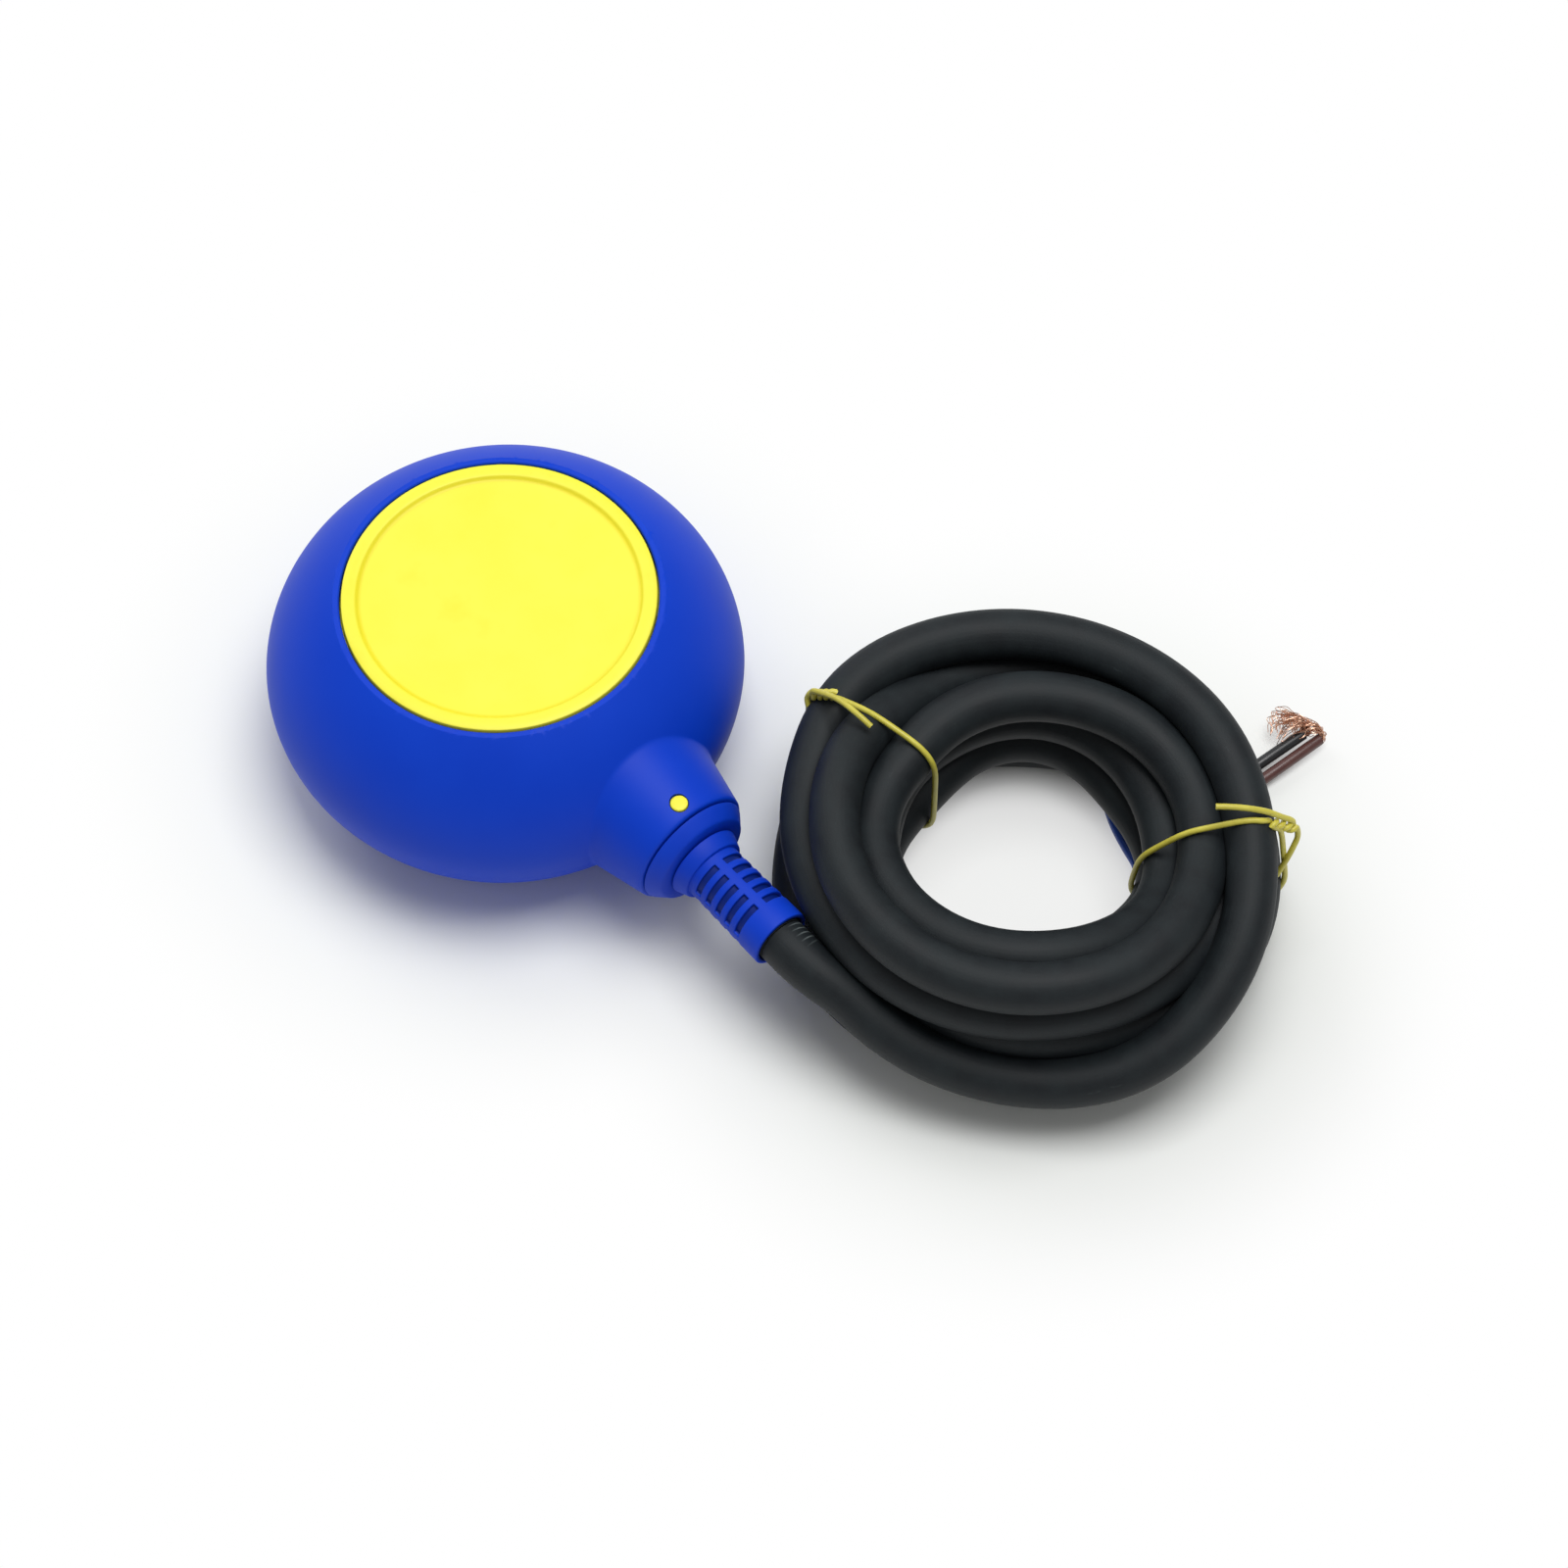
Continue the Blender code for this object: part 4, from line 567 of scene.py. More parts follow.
def tie(name, outer_angle, inner_angle, root, tip, tail, end):
    """One wire: its tail, a twisted knot, once round the ring, the knot again and its bent end."""
    root, tip = ring_spot(*root), ring_spot(*tip)
    axis = tip - root
    across = np.cross(axis, (0, 0, 1))
    across /= np.linalg.norm(across)
    over = np.cross(across, axis) / np.linalg.norm(axis)

    def twist(phase):
        turned_by = phase + np.linspace(0, 3.4 * math.pi, 15)
        share = np.linspace(0, 1, 15)[:, None]
        wind = np.outer(np.cos(turned_by), across) + np.outer(np.sin(turned_by), over)
        return root + axis * share + wind * TIE_DIAMETER * 0.52

    middle = math.radians((outer_angle + inner_angle) / 2)
    outline = np.array(wrapped(middle, CABLE_DIAMETER / 2 + TIE_DIAMETER * 0.8))
    knot = (np.linalg.norm((root - RING_CENTRE)[:2]), root[2])
    first = int(np.argmin(np.linalg.norm(outline - knot, axis=1)))
    loop = np.vstack([outline[first:], outline[:first], outline[first:first + 1]])
    walked = np.r_[0, np.cumsum(np.linalg.norm(np.diff(loop, axis=0), axis=1))]
    even = np.linspace(0, walked[-1], 80)
    loop = np.stack([np.interp(even, walked, loop[:, i]) for i in range(2)], 1)
    for _ in range(5):
        loop[1:-1] = (loop[:-2] + 2 * loop[1:-1] + loop[2:]) / 4
    loop[:, 1] = np.maximum(loop[:, 1], TIE_DIAMETER * 0.6)
    slope = (outer_angle - inner_angle) / (RING_OUTSIDE - RING_INSIDE)
    around = [ring_spot(r, inner_angle + (r - RING_INSIDE) * slope, z) for r, z in loop[2:-2]]
    route = [ring_spot(*p) for p in tail] + list(twist(0.0)[::-1]) + around
    route += list(twist(math.pi)) + [ring_spot(*p) for p in end]
    piece = tube(name, smooth(route, 0.0005), TIE_DIAMETER / 2, 10, tie_coat)
    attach(piece, "float_body")
    return piece


left_tie = tie(
    "tie_wire_left", 193.5, 193.0, (0.0385, 193.4, 0.0318), (0.0422, 194.3, 0.0292),
    [(0.0290, 199.6, 0.0352), (0.0308, 199.0, 0.0358), (0.0328, 198.2, 0.0360),
     (0.0350, 197.0, 0.0354), (0.0372, 196.0, 0.0344), (0.0398, 195.2, 0.0326),
     (0.0420, 194.6, 0.0308)],
    [(0.0430, 194.8, 0.0280), (0.0424, 195.6, 0.0268)])
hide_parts("coil_tie_left")
right_tie = tie(
    "tie_wire_right", 46.5, 43.0, (0.0390, 46.2, 0.0318), (0.0432, 48.4, 0.0278),
    [(0.0298, 46.4, 0.0362), (0.0318, 46.6, 0.0361), (0.0338, 46.8, 0.0358),
     (0.0360, 47.0, 0.0352), (0.0384, 47.4, 0.0340), (0.0408, 48.0, 0.0318),
     (0.0428, 48.7, 0.0296)],
    [(0.0440, 48.0, 0.0256), (0.0434, 46.8, 0.0234), (0.0427, 45.8, 0.0213),
     (0.0420, 45.2, 0.0190), (0.0414, 44.8, 0.0168)])
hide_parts("coil_tie_right")

# Float casing: one blow-moulded blue polypropylene shell, a flattened ball with a round window in
# each face and a cone neck that the two yellow halves' spout fills.

GAP = 0.0003
FLOAT_RADIUS = 0.0400
FLOAT_BULGE = 0.0290
FLOAT_ROUNDNESS = 1.876
FLOAT_FLAT = 0.0203
CASING_WALL = 0.0023
FACE_RADIUS = 0.02595
NECK_END = 0.0478
NECK_END_RADIUS = 0.0107
NECK_TAPER = 0.229
NECK_ROOT = 0.0300
SPOUT_RADIUS = 0.0082
DOT_STATION = 0.0452
DOT_RADIUS = 0.00145
NECK_FILLET = 0.0006
FLOAT_PLACE = Vector((AXIS_X, 0, FLOAT_MIDDLE))


def ball_reach(direction):
    """Distance from the float's middle to the ball's skin along unit directions."""
    flat = np.hypot(direction[..., 0], direction[..., 1]) / FLOAT_RADIUS
    high = np.abs(direction[..., 2]) / FLOAT_BULGE
    return (flat ** FLOAT_ROUNDNESS + high ** FLOAT_ROUNDNESS) ** (-1 / FLOAT_ROUNDNESS)


def outer_skin(name, material):
    """The closed outer form of ball and neck, as rings round the neck's axis."""
    sides = 192
    rim = [(NECK_END, NECK_END_RADIUS - 0.0005), (NECK_END - 0.00005, NECK_END_RADIUS - 0.0002),
           (NECK_END - 0.0002, NECK_END_RADIUS - 0.00003)]
    polar = np.concatenate([
        np.linspace(math.atan2(NECK_END_RADIUS + 0.0001, NECK_END - 0.0004), 0.26, 6)[:-1],
        np.linspace(0.26, 0.40, 30)[:-1], np.linspace(0.40, math.pi, 110)[:-1]])
    turn = 2 * math.pi * np.arange(sides) / sides
    rings = [np.stack([np.full(sides, s), r * np.cos(turn), r * np.sin(turn)], 1) for s, r in rim]
    for t in polar:
        direction = np.stack([
            np.full(sides, math.cos(t)), math.sin(t) * np.cos(turn), math.sin(t) * np.sin(turn)], 1)
        reach = ball_reach(direction)
        if t < 1.0:
            cone = (NECK_END_RADIUS + NECK_END * NECK_TAPER) / (
                math.sin(t) + NECK_TAPER * math.cos(t))
            share = np.clip(0.5 + (reach - cone) / NECK_FILLET / 2, 0, 1)
            reach = cone + (reach - cone) * share + NECK_FILLET * share * (1 - share)
        rings.append(direction * reach[:, None])
    verts = np.vstack([[(NECK_END, 0, 0)]] + rings + [[(-FLOAT_RADIUS, 0, 0)]])
    verts = verts + np.array(FLOAT_PLACE)
    faces = []
    for k in range(sides):
        n = (k + 1) % sides
        faces.append((0, 1 + k, 1 + n))
        for i in range(len(rings) - 1):
            a, b = 1 + i * sides, 1 + (i + 1) * sides
            faces.append((a + k, b + k, b + n, a + n))
        last = 1 + (len(rings) - 1) * sides
        faces.append((last + k, len(verts) - 1, last + n))
    return new_piece(name, verts, faces, material)


def turned(name, profile, axis, steps, material):
    """A closed profile of (radius, height) points turned about the float's Z or the neck's X."""
    ring = np.array(profile, float)
    angle = 2 * math.pi * np.arange(steps) / steps
    bm = bmesh.new()
    grid = []
    for r, h in ring:
        if r < 1e-9:
            spot = (0, 0, h) if axis == "Z" else (h, 0, 0)
            grid.append([bm.verts.new(FLOAT_PLACE + Vector(spot))] * steps)
            continue
        row = []
        for a in angle:
            c, s = r * math.cos(a), r * math.sin(a)
            spot = (c, s, h) if axis == "Z" else (h, c, s)
            row.append(bm.verts.new(FLOAT_PLACE + Vector(spot)))
        grid.append(row)
    for i in range(len(grid)):
        near, far = grid[i - 1], grid[i]
        for k in range(steps):
            n = (k + 1) % steps
            corners = []
            for v in (near[k], near[n], far[n], far[k]):
                if v not in corners:
                    corners.append(v)
            if len(corners) > 2:
                bm.faces.new(corners)
    bmesh.ops.recalc_face_normals(bm, faces=bm.faces)
    return from_bmesh(name, bm, material)


def settle(piece):
    """Applies a piece's modifiers."""
    shaped = bpy.data.meshes.new_from_object(
        piece.evaluated_get(bpy.context.evaluated_depsgraph_get()))
    piece.modifiers.clear()
    old = piece.data
    piece.data = shaped
    shaped.name = piece.name
    bpy.data.meshes.remove(old)


def carve(piece, tool, operation="DIFFERENCE"):
    """Cuts a tool body out of a piece, or adds it, and removes the tool."""
    change = piece.modifiers.new("carve", "BOOLEAN")
    change.operation = operation
    change.solver = "EXACT"
    change.object = tool
    settle(piece)
    bpy.data.objects.remove(tool)


def crisp(piece, degrees=35):
    """Smooth shading, with edges sharper than an angle kept crisp."""
    piece.data.shade_smooth()
    piece.data.set_sharp_from_angle(angle=math.radians(degrees))


def side_arc(radius, bulge, z_from, z_to, count):
    """Points (radius, height) on a flattened ball's side between two heights."""
    power = FLOAT_ROUNDNESS / 2
    ends = [math.copysign(math.asin(min(1.0, (abs(z) / bulge) ** power)), z)
            for z in (z_from, z_to)]
    points = []
    for i in range(count + 1):
        t = ends[0] + (ends[1] - ends[0]) * i / count
        points.append((
            radius * math.cos(t) ** (1 / power),
            math.copysign(bulge * abs(math.sin(t)) ** (1 / power), t)))
    return points


def side_height(radius, bulge, r):
    """Height of a flattened ball's side at a distance from its axis."""
    return bulge * (1 - (r / radius) ** FLOAT_ROUNDNESS) ** (1 / FLOAT_ROUNDNESS)


# Moulded polypropylene: deep blue and satin. A fine spark-eroded grain, drawn at 0.35 mm so that
# it shows, breaks the highlight, and slow clouding of 15 to 30 mm keeps the big surface alive.
FINE_GRAIN = {"Scale": 2900.0, "Detail": 2.0, "Roughness": 0.6}
blue_pp = clouded(
    "blue_moulded_polypropylene", ("#0238c2", "#0a45d4"),
    {"Scale": 45.0, "Detail": 3.0, "Roughness": 0.5}, (0.42, 0.58), (0.18, 0.00004),
    {"IOR": 1.49, "Specular IOR Level": 0.17}, FINE_GRAIN)[0]

casing = outer_skin("float_shell", blue_pp)
window = FACE_RADIUS + GAP
inner_radius = FLOAT_RADIUS - CASING_WALL
inner_bulge = FLOAT_BULGE - CASING_WALL
edge = side_height(inner_radius, inner_bulge, window)
# The tool reaches well past the ball. It trims both ends flat round the windows and breaks the
# corner of the lip.
TOOL_RADIUS = 0.06
TOOL_HEIGHT = 0.05
LIP_BREAK = 0.0002
hollow = [(0, TOOL_HEIGHT), (TOOL_RADIUS, TOOL_HEIGHT), (TOOL_RADIUS, FLOAT_FLAT),
          (window + LIP_BREAK, FLOAT_FLAT), (window, FLOAT_FLAT - LIP_BREAK)]
hollow += side_arc(inner_radius, inner_bulge, edge, -edge, 40)
hollow += [(r, -z) for r, z in reversed(hollow[:5])]
carve(casing, turned("hollow", hollow, "Z", 160, blue_pp))
BORE_RADIUS = SPOUT_RADIUS + GAP
MOUTH_CHAMFER = 0.0006
bore = [(0, NECK_ROOT - 0.002), (BORE_RADIUS, NECK_ROOT - 0.002),
        (BORE_RADIUS, NECK_END - MOUTH_CHAMFER / 2),
        (BORE_RADIUS + MOUTH_CHAMFER, NECK_END + MOUTH_CHAMFER / 2),
        (BORE_RADIUS + MOUTH_CHAMFER, NECK_END + 0.01), (0, NECK_END + 0.01)]
carve(casing, turned("bore", bore, "X", 96, blue_pp))


def pin_tool(name, radius, low, high, material):
    """A round bar along Z at the dot's station, with a slightly domed top."""
    dome = radius * 0.18
    bm = bmesh.new()
    rows = [(radius, low), (radius, high - dome), (radius * 0.93, high - dome * 0.45),
            (radius * 0.75, high - dome * 0.15), (radius * 0.4, high)]
    grid = []
    for r, h in rows:
        grid.append([bm.verts.new((
            AXIS_X + DOT_STATION + r * math.cos(a), r * math.sin(a), FLOAT_MIDDLE + h))
            for a in 2 * math.pi * np.arange(32) / 32])
    for near, far in zip(grid, grid[1:]):
        for k in range(32):
            bm.faces.new((near[k - 1], near[k], far[k], far[k - 1]))
    bm.faces.new(grid[0])
    bm.faces.new(grid[-1])
    bmesh.ops.recalc_face_normals(bm, faces=bm.faces)
    return from_bmesh(name, bm, material)


for low, high in ((-0.02, -0.006), (0.006, 0.02)):
    carve(casing, pin_tool("dot_hole", DOT_RADIUS + GAP / 2, low, high, blue_pp))
crisp(casing)
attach(casing, "float_body")
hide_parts("float_casing")

# Yellow halves: two injection-moulded polypropylene cups that meet at the middle as the sealed
# capsule. Their rimmed faces show in the windows and their pins as dots. Inside, the lower one
# carries the switch on posts and the cable in a saddle, and the upper one's ribs keep the ball in.

FACE_HEIGHT = 0.0205
RIM_WIDTH = 0.0024
RIM_DEPTH = 0.0006
CAPSULE_WALL = 0.0020
SPOUT_BORE = 0.0060
SPOUT_END = 0.0468
INNER_FLOOR = 0.0189
POST_RADIUS = 0.0026
POST_PLACE = 0.02088
POST_DIRECTIONS = (46, 134, 270)
POST_TOP = -0.0155
PILOT_RADIUS = 0.0013
PILOT_FLOOR = -0.0186
SADDLE = ((0.0282, -0.0085, -0.0100), (0.0318, 0.0085, -0.0010))
RIB_SPREAD = 0.0035
RIB_THICKNESS = 0.0010
RIB_REACH = 0.013
RIB_OVER_BALL = 0.0066


def block(name, low, high):
    """A moulded block between two corners, measured from the float's middle."""
    bm = bmesh.new()
    bmesh.ops.create_cube(bm, size=1.0)
    low, high = Vector(low), Vector(high)
    bmesh.ops.scale(bm, verts=bm.verts, vec=high - low)
    bmesh.ops.translate(bm, verts=bm.verts, vec=FLOAT_PLACE + (low + high) / 2)
    return from_bmesh(name, bm, yellow_pp)


# Moulded polypropylene: bright lemon yellow and satin. The colour deepens a little in slow clouds
# of 8 to 20 mm, with a few fainter smudges, and the grain is as fine as on the casing.
yellow_pp, tree, place, clouds, skin = clouded(
    "yellow_moulded_polypropylene", ("#f6ef2c", "#fbf64c"),
    {"Scale": 75.0, "Detail": 4.0, "Roughness": 0.55}, (0.4, 0.55), (0.12, 0.00004),
    {"IOR": 1.49}, FINE_GRAIN)
smudge = add(tree, "ShaderNodeMapRange", {"From Min": 0.60, "From Max": 0.72, "To Max": 0.6},
             {"Value": clouds})
skin = add(tree, "ShaderNodeMix", {"data_type": "RGBA", "7": linear("#f3ea28")},
           {"0": smudge.outputs[0], "6": skin})
# Painted shade: the corner under the rim is painted a deeper yellow, for the shade there and the
# yellow light that reflects into it.
CORNER_RADIUS = 0.02315
off_axis = add(tree, "ShaderNodeVectorMath", {"operation": "MULTIPLY", "1": (1, 1, 0)},
               {"0": place})
off_axis = add(tree, "ShaderNodeVectorMath", {"operation": "DISTANCE", "1": (AXIS_X, 0, 0)},
               {"0": off_axis.outputs[0]})
painted_corner_shade = add(tree, "ShaderNodeMath", {"operation": "SUBTRACT", "1": CORNER_RADIUS},
             {"0": off_axis.outputs["Value"]})
painted_corner_shade = add(tree, "ShaderNodeMath", {"operation": "ABSOLUTE"}, {"0": painted_corner_shade.outputs[0]})
painted_corner_shade = add(tree, "ShaderNodeMapRange", {
    "From Min": 0.0007, "From Max": 0.0001, "To Max": 0.6, "interpolation_type": "SMOOTHSTEP"},
    {"Value": painted_corner_shade.outputs[0]})
skin = add(tree, "ShaderNodeMix", {"data_type": "RGBA", "7": linear("#efdd14")},
           {"0": painted_corner_shade.outputs[0], "6": skin.outputs[2]})
tree.links.new(skin.outputs[2], tree.nodes["Principled BSDF"].inputs["Base Color"])

capsule_radius = FLOAT_RADIUS - CASING_WALL - GAP
capsule_bulge = FLOAT_BULGE - CASING_WALL - GAP
for name, node, side in (("capsule_lower", "case_bottom", -1), ("capsule_upper", "case_top", 1)):
    low_face = FACE_HEIGHT - RIM_DEPTH
    rim = FACE_RADIUS - RIM_WIDTH
    shoulder = side_height(capsule_radius, capsule_bulge, FACE_RADIUS)
    profile = [(0, low_face)] + [(rim * i / 6, low_face) for i in range(1, 6)]
    profile += [(rim - 0.0008 + across, low_face + RIM_DEPTH * rise) for across, rise in (
        (0, 0), (0.0002, 0.04), (0.0004, 0.17), (0.00055, 0.36), (0.0007, 0.62), (0.00082, 0.83),
        (0.00095, 0.95), (0.00115, 1.0))]
    profile += [
        (FACE_RADIUS - 0.0010, FACE_HEIGHT), (FACE_RADIUS - 0.00035, FACE_HEIGHT - 0.00004),
        (FACE_RADIUS - 0.0001, FACE_HEIGHT - 0.00015), (FACE_RADIUS, FACE_HEIGHT - 0.0004)]
    profile += side_arc(capsule_radius, capsule_bulge, shoulder, GAP / 2, 24)
    profile += [p for p in reversed(side_arc(
        capsule_radius - CAPSULE_WALL, capsule_bulge - CAPSULE_WALL, low_face - CAPSULE_WALL,
        GAP / 2, 24))] + [(0, low_face - CAPSULE_WALL)]
    half = turned(name, [(r, side * z) for r, z in profile], "Z", 160, yellow_pp)
    spout = turned("spout", [
        (0, NECK_ROOT), (SPOUT_RADIUS, NECK_ROOT), (SPOUT_RADIUS, SPOUT_END), (0, SPOUT_END)],
        "X", 96, yellow_pp)
    bm = bmesh.new()
    bm.from_mesh(spout.data)
    bmesh.ops.bisect_plane(
        bm, geom=bm.verts[:] + bm.edges[:] + bm.faces[:], plane_co=FLOAT_PLACE
        + Vector((0, 0, side * GAP / 2)), plane_no=(0, 0, -side), clear_outer=True)
    bmesh.ops.holes_fill(bm, edges=[e for e in bm.edges if e.is_boundary])
    bm.to_mesh(spout.data)
    bm.free()
    carve(half, spout, "UNION")
    pin_top = NECK_END_RADIUS + (NECK_END - DOT_STATION) * NECK_TAPER + 0.00015
    pin = pin_tool("pin", DOT_RADIUS, SPOUT_BORE + GAP, pin_top, yellow_pp)
    if side < 0:
        pin.data.transform(Matrix.Translation(FLOAT_PLACE) @ Matrix.Rotation(math.pi, 4, "X")
                           @ Matrix.Translation(-FLOAT_PLACE))
    carve(half, pin, "UNION")
    carve(half, turned("spout_bore", [
        (0, NECK_ROOT - 0.004), (SPOUT_BORE, NECK_ROOT - 0.004), (SPOUT_BORE, 0.06), (0, 0.06)],
        "X", 96, yellow_pp))
    if side < 0:
        for direction in POST_DIRECTIONS:
            stand = turned("post", [
                (0, -INNER_FLOOR), (POST_RADIUS, -INNER_FLOOR), (POST_RADIUS, POST_TOP - 0.0002),
                (POST_RADIUS - 0.0002, POST_TOP), (PILOT_RADIUS, POST_TOP),
                (PILOT_RADIUS, PILOT_FLOOR), (0, PILOT_FLOOR)], "Z", 32, yellow_pp)
            turn = math.radians(direction)
            stand.data.transform(Matrix.Translation(
                (POST_PLACE * math.cos(turn), POST_PLACE * math.sin(turn), 0)))
            carve(half, stand, "UNION")
        carve(half, block("saddle", *SADDLE), "UNION")
        groove = [(0, 0.020), (CABLE_DIAMETER / 2 + GAP, 0.020), (CABLE_DIAMETER / 2 + GAP, 0.034),
                  (0, 0.034)]
        carve(half, turned("groove", groove, "X", 64, yellow_pp))
    else:
        low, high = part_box("steel_ball")
        foot = (low[2] + high[2]) / 2 + RIB_OVER_BALL - FLOAT_MIDDLE
        for y in (-RIB_SPREAD, RIB_SPREAD):
            carve(half, block(
                "rib", (-RIB_REACH, y - RIB_THICKNESS / 2, foot),
                (RIB_REACH, y + RIB_THICKNESS / 2, INNER_FLOOR)), "UNION")
    crisp(half)
    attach(half, "float_body")
    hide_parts(node)

# Gland collar and sleeve: flexible blue elastomer mouldings on the cable. The collar closes the
# cone's mouth, and the slotted sleeve takes the bending where the cable leaves it.

COLLAR_LENGTH = 0.0026
COLLAR_RADIUS = 0.0102
SHOULDER_RADIUS = 0.0086
MOUTH_RADIUS = 0.0069
RELIEF_ROOT_RADIUS = 0.0054
RELIEF_RING_RADIUS = 0.0067
RELIEF_RING_END_RADIUS = 0.00575
RELIEF_RING_LENGTH = 0.0025
RELIEF_RADIUS = 0.0051
RELIEF_END_RADIUS = 0.00535
SLOT_ROWS = 5
SLOT_PITCH = 0.00242
SLOT_WIDTH = 0.0012
SLOT_FIRST = 0.0555
RIB_WIDTH = 0.0016
CABLE_BORE = CABLE_DIAMETER / 2 + GAP
# The thin skin at the slots' floors is a sheet that carries their painted shade.
SLOT_FLOOR = CABLE_BORE + 0.00008

# Moulded elastomer: the same blue, softer and a shade duller than the casing, with a fine grain.
blue_soft, tree, place, _, skin = clouded(
    "blue_moulded_elastomer", ("#0235bc", "#0842d0"), {"Scale": 120.0, "Detail": 3.0},
    (0.45, 0.62), (0.2, 0.00004), {"IOR": 1.5, "Specular IOR Level": 0.2},
    {"Scale": 2600.0, "Detail": 2.0})
# Painted shade: the floors of the sleeve's slots are painted navy, for the shade they lie in.
off_axis = add(tree, "ShaderNodeVectorMath", {"operation": "MULTIPLY", "1": (0, 1, 1)},
               {"0": place})
off_axis = add(tree, "ShaderNodeVectorMath", {"operation": "DISTANCE", "1": (0, 0, FLOAT_MIDDLE)},
               {"0": off_axis.outputs[0]})
painted_slot_shade = add(tree, "ShaderNodeMapRange", {"From Min": 0.0050, "From Max": 0.0047, "To Max": 0.8},
           {"Value": off_axis.outputs["Value"]})
skin = add(tree, "ShaderNodeMix", {"data_type": "RGBA", "7": linear("#011a5c")},
           {"0": painted_slot_shade.outputs[0], "6": skin})
tree.links.new(skin.outputs[2], tree.nodes["Principled BSDF"].inputs["Base Color"])

seat = NECK_END + GAP
mouth = seat + COLLAR_LENGTH
root = seat + GAP
collar = turned("gland_collar_skin", [
    (CABLE_BORE, SPOUT_END + GAP), (SPOUT_RADIUS - 0.0003, SPOUT_END + GAP),
    (SPOUT_RADIUS, SPOUT_END + GAP + 0.0003), (SPOUT_RADIUS, seat), (COLLAR_RADIUS - 0.0001, seat),
    (COLLAR_RADIUS, seat + 0.0001), (COLLAR_RADIUS - 0.0001, seat + 0.00035),
    (SHOULDER_RADIUS + 0.0002, mouth - 0.0006), (SHOULDER_RADIUS, mouth - 0.0003),
    (SHOULDER_RADIUS - 0.0003, mouth - 0.00012), (MOUTH_RADIUS + 0.0002, mouth),
    (MOUTH_RADIUS, mouth), (RELIEF_ROOT_RADIUS + GAP, mouth),
    (RELIEF_ROOT_RADIUS + GAP, root), (CABLE_BORE, root)], "X", 128, blue_soft)
crisp(collar, 40)
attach(collar, "float_body")
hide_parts("gland_collar")


def slotted_sleeve(name):
    """The sleeve as a grid of cells, whose slots go down to a thin skin over the cable."""
    ring = mouth + GAP
    ring_end = ring + RELIEF_RING_LENGTH
    body = [(root + GAP, RELIEF_ROOT_RADIUS), (ring - 0.00001, RELIEF_ROOT_RADIUS),
            (ring, RELIEF_RING_RADIUS), (ring_end, RELIEF_RING_END_RADIUS),
            (ring_end + 0.00001, RELIEF_RADIUS)]

    def radius(station):
        share = (station - ring_end) / (RELIEF_END - ring_end)
        return RELIEF_RADIUS + (RELIEF_END_RADIUS - RELIEF_RADIUS) * max(0.0, share)

    slots = []
    for row in range(SLOT_ROWS):
        start = SLOT_FIRST + row * SLOT_PITCH - SLOT_WIDTH / 2
        slots.append(len(body))
        body += [(start, radius(start)), (start + SLOT_WIDTH, radius(start + SLOT_WIDTH))]
    body += [((body[-1][0] + RELIEF_END) / 2, radius((body[-1][0] + RELIEF_END) / 2)),
             (RELIEF_END, RELIEF_END_RADIUS)]
    rib = math.asin(RIB_WIDTH / 2 / RELIEF_RADIUS)
    angles, open_cells = [], set()
    for quarter in range(4):
        base = quarter * math.pi / 2
        angles += [base - rib, base]
        wide = np.linspace(base + rib, base + math.pi / 2 - rib, 13)
        for i in range(12):
            open_cells.add(len(angles) + i)
        angles += list(wide[:-1])
    count = len(angles)
    bm = bmesh.new()
    web, outer, inner = [], [], []
    for station, r in body:
        for rows, reach in ((web, SLOT_FLOOR), (outer, r), (inner, CABLE_BORE)):
            rows.append([bm.verts.new(FLOAT_PLACE + Vector((
                station, reach * math.cos(a), reach * math.sin(a)))) for a in angles])

    def solid(i, k):
        if not 0 <= i < len(body) - 1:
            return False
        return not (i in slots and k % count in open_cells)

    for i in range(len(body)):
        for k in range(count):
            n = (k + 1) % count
            if i < len(body) - 1:
                bm.faces.new((inner[i][k], inner[i + 1][k], inner[i + 1][n], inner[i][n]))
            if solid(i, k):
                bm.faces.new((outer[i][k], outer[i][n], outer[i + 1][n], outer[i + 1][k]))
            elif i < len(body) - 1:
                bm.faces.new((web[i][k], web[i][n], web[i + 1][n], web[i + 1][k]))
            foot = inner if i in (0, len(body) - 1) else web
            if solid(i, k) != solid(i - 1, k):
                bm.faces.new((outer[i][k], outer[i][n], foot[i][n], foot[i][k]))
            if i < len(body) - 1 and solid(i, k) != solid(i, k - 1):
                bm.faces.new((outer[i][k], web[i][k], web[i + 1][k], outer[i + 1][k]))
    bmesh.ops.delete(bm, geom=[v for v in bm.verts if not v.link_faces], context="VERTS")
    bmesh.ops.recalc_face_normals(bm, faces=bm.faces)
    piece = from_bmesh(name, bm, blue_soft)
    soften = piece.modifiers.new("soft_edges", "BEVEL")
    soften.width = 0.00016
    soften.segments = 3
    soften.limit_method = "ANGLE"
    soften.angle_limit = math.radians(40)
    settle(piece)
    return piece


sleeve = slotted_sleeve("slotted_sleeve")
crisp(sleeve, 40)
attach(sleeve, "float_body")
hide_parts("strain_relief")

# Switch inside the capsule: a carrier plate with the rocker, its ball and the microswitch, and the
# cable's clamp and seal. They keep their own shapes, and each is finished as its real stock is.

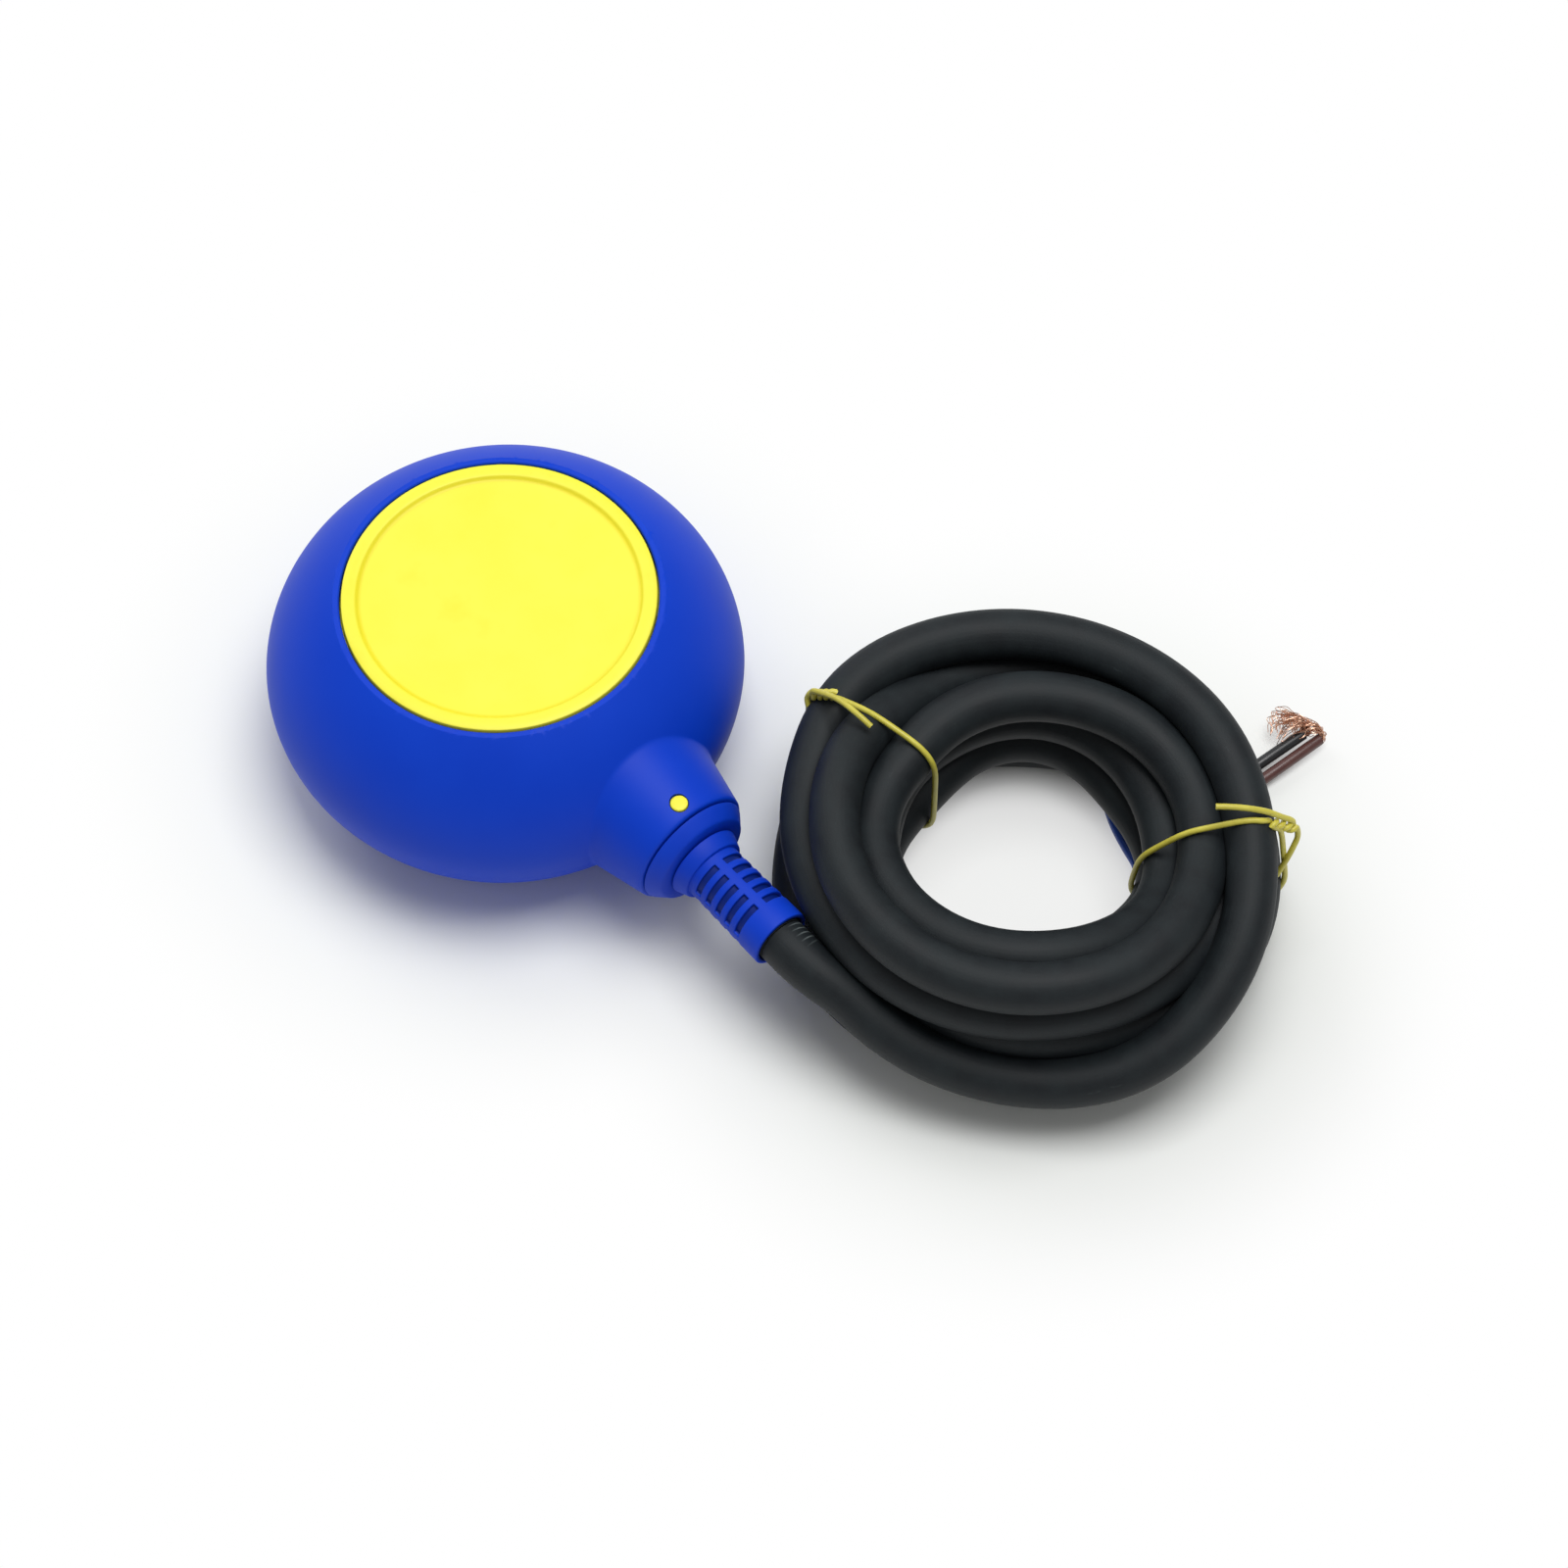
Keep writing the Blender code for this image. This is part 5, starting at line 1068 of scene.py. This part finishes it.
# For each stock: its darker and lighter shade, whether it is metal, its roughness and IOR, the
# clouds' and the grain's scale, and the nodes that are made of it.
inner_stocks = {
    "white_nylon": (
        ("#cfcfc4", "#e4e3da"), 0.0, 0.42, 1.53, 160.0, 1400.0,
        ["thrust_washer", "cable_clamp", "switch_carrier"]),
    "black_acetal": (("#141416", "#232427"), 0.0, 0.38, 1.48, 200.0, 1600.0, ["rocker_lever"]),
    "black_phenolic": (
        ("#17120f", "#2b241f"), 0.0, 0.5, 1.6, 300.0, 2200.0,
        ["microswitch_base", "microswitch_cover"]),
    "red_acetal": (("#a31712", "#c7281d"), 0.0, 0.3, 1.48, 400.0, 2500.0, ["switch_plunger"]),
    "zinc_steel": (
        ("#a3a6a8", "#c6c9cc"), 1.0, 0.36, 1.5, 500.0, 3000.0,
        ["clamp_screw_1", "clamp_screw_2", "carrier_screw_1", "carrier_screw_2",
         "carrier_screw_3", "switch_screw_1", "switch_screw_2"]),
    "polished_steel": (
        ("#b4b6ba", "#d3d5d8"), 1.0, 0.14, 1.5, 300.0, 4000.0, ["steel_ball", "pivot_pin"]),
    "tinned_brass": (
        ("#a59c80", "#cabf9c"), 1.0, 0.34, 1.5, 400.0, 3000.0,
        ["terminal_brown", "terminal_black", "terminal_blue", "receptacle_brown",
         "receptacle_black", "receptacle_blue"]),
    "seal_rubber": (("#0f0f10", "#1c1d1e"), 0.0, 0.6, 1.52, 200.0, 1800.0, ["cable_seal"]),
    "black_rubber": (("#1a1e21", "#2c3235"), 0.0, 0.62, 1.52, 200.0, 1500.0, ["cable_jacket_end"]),
}
for colour, shades in core_colours.items():
    inner_stocks[colour + "_pvc"] = (
        shades, 0.0, 0.36, 1.53, 300.0, 1800.0, ["inner_core_" + colour])
for name, stock in inner_stocks.items():
    shades, metallic, rough, ior, cloud_scale, grain_scale, names = stock
    material = clouded(
        "stock_" + name, shades, {"Scale": cloud_scale, "Detail": 3.0},
        (rough * 0.8, rough * 1.25), (0.15, 0.00003), {"Metallic": metallic, "IOR": ior},
        {"Scale": grain_scale, "Detail": 3.0}, worn=True)[0]
    for node in names:
        nodes[node].data.materials.clear()
        nodes[node].data.materials.append(material)
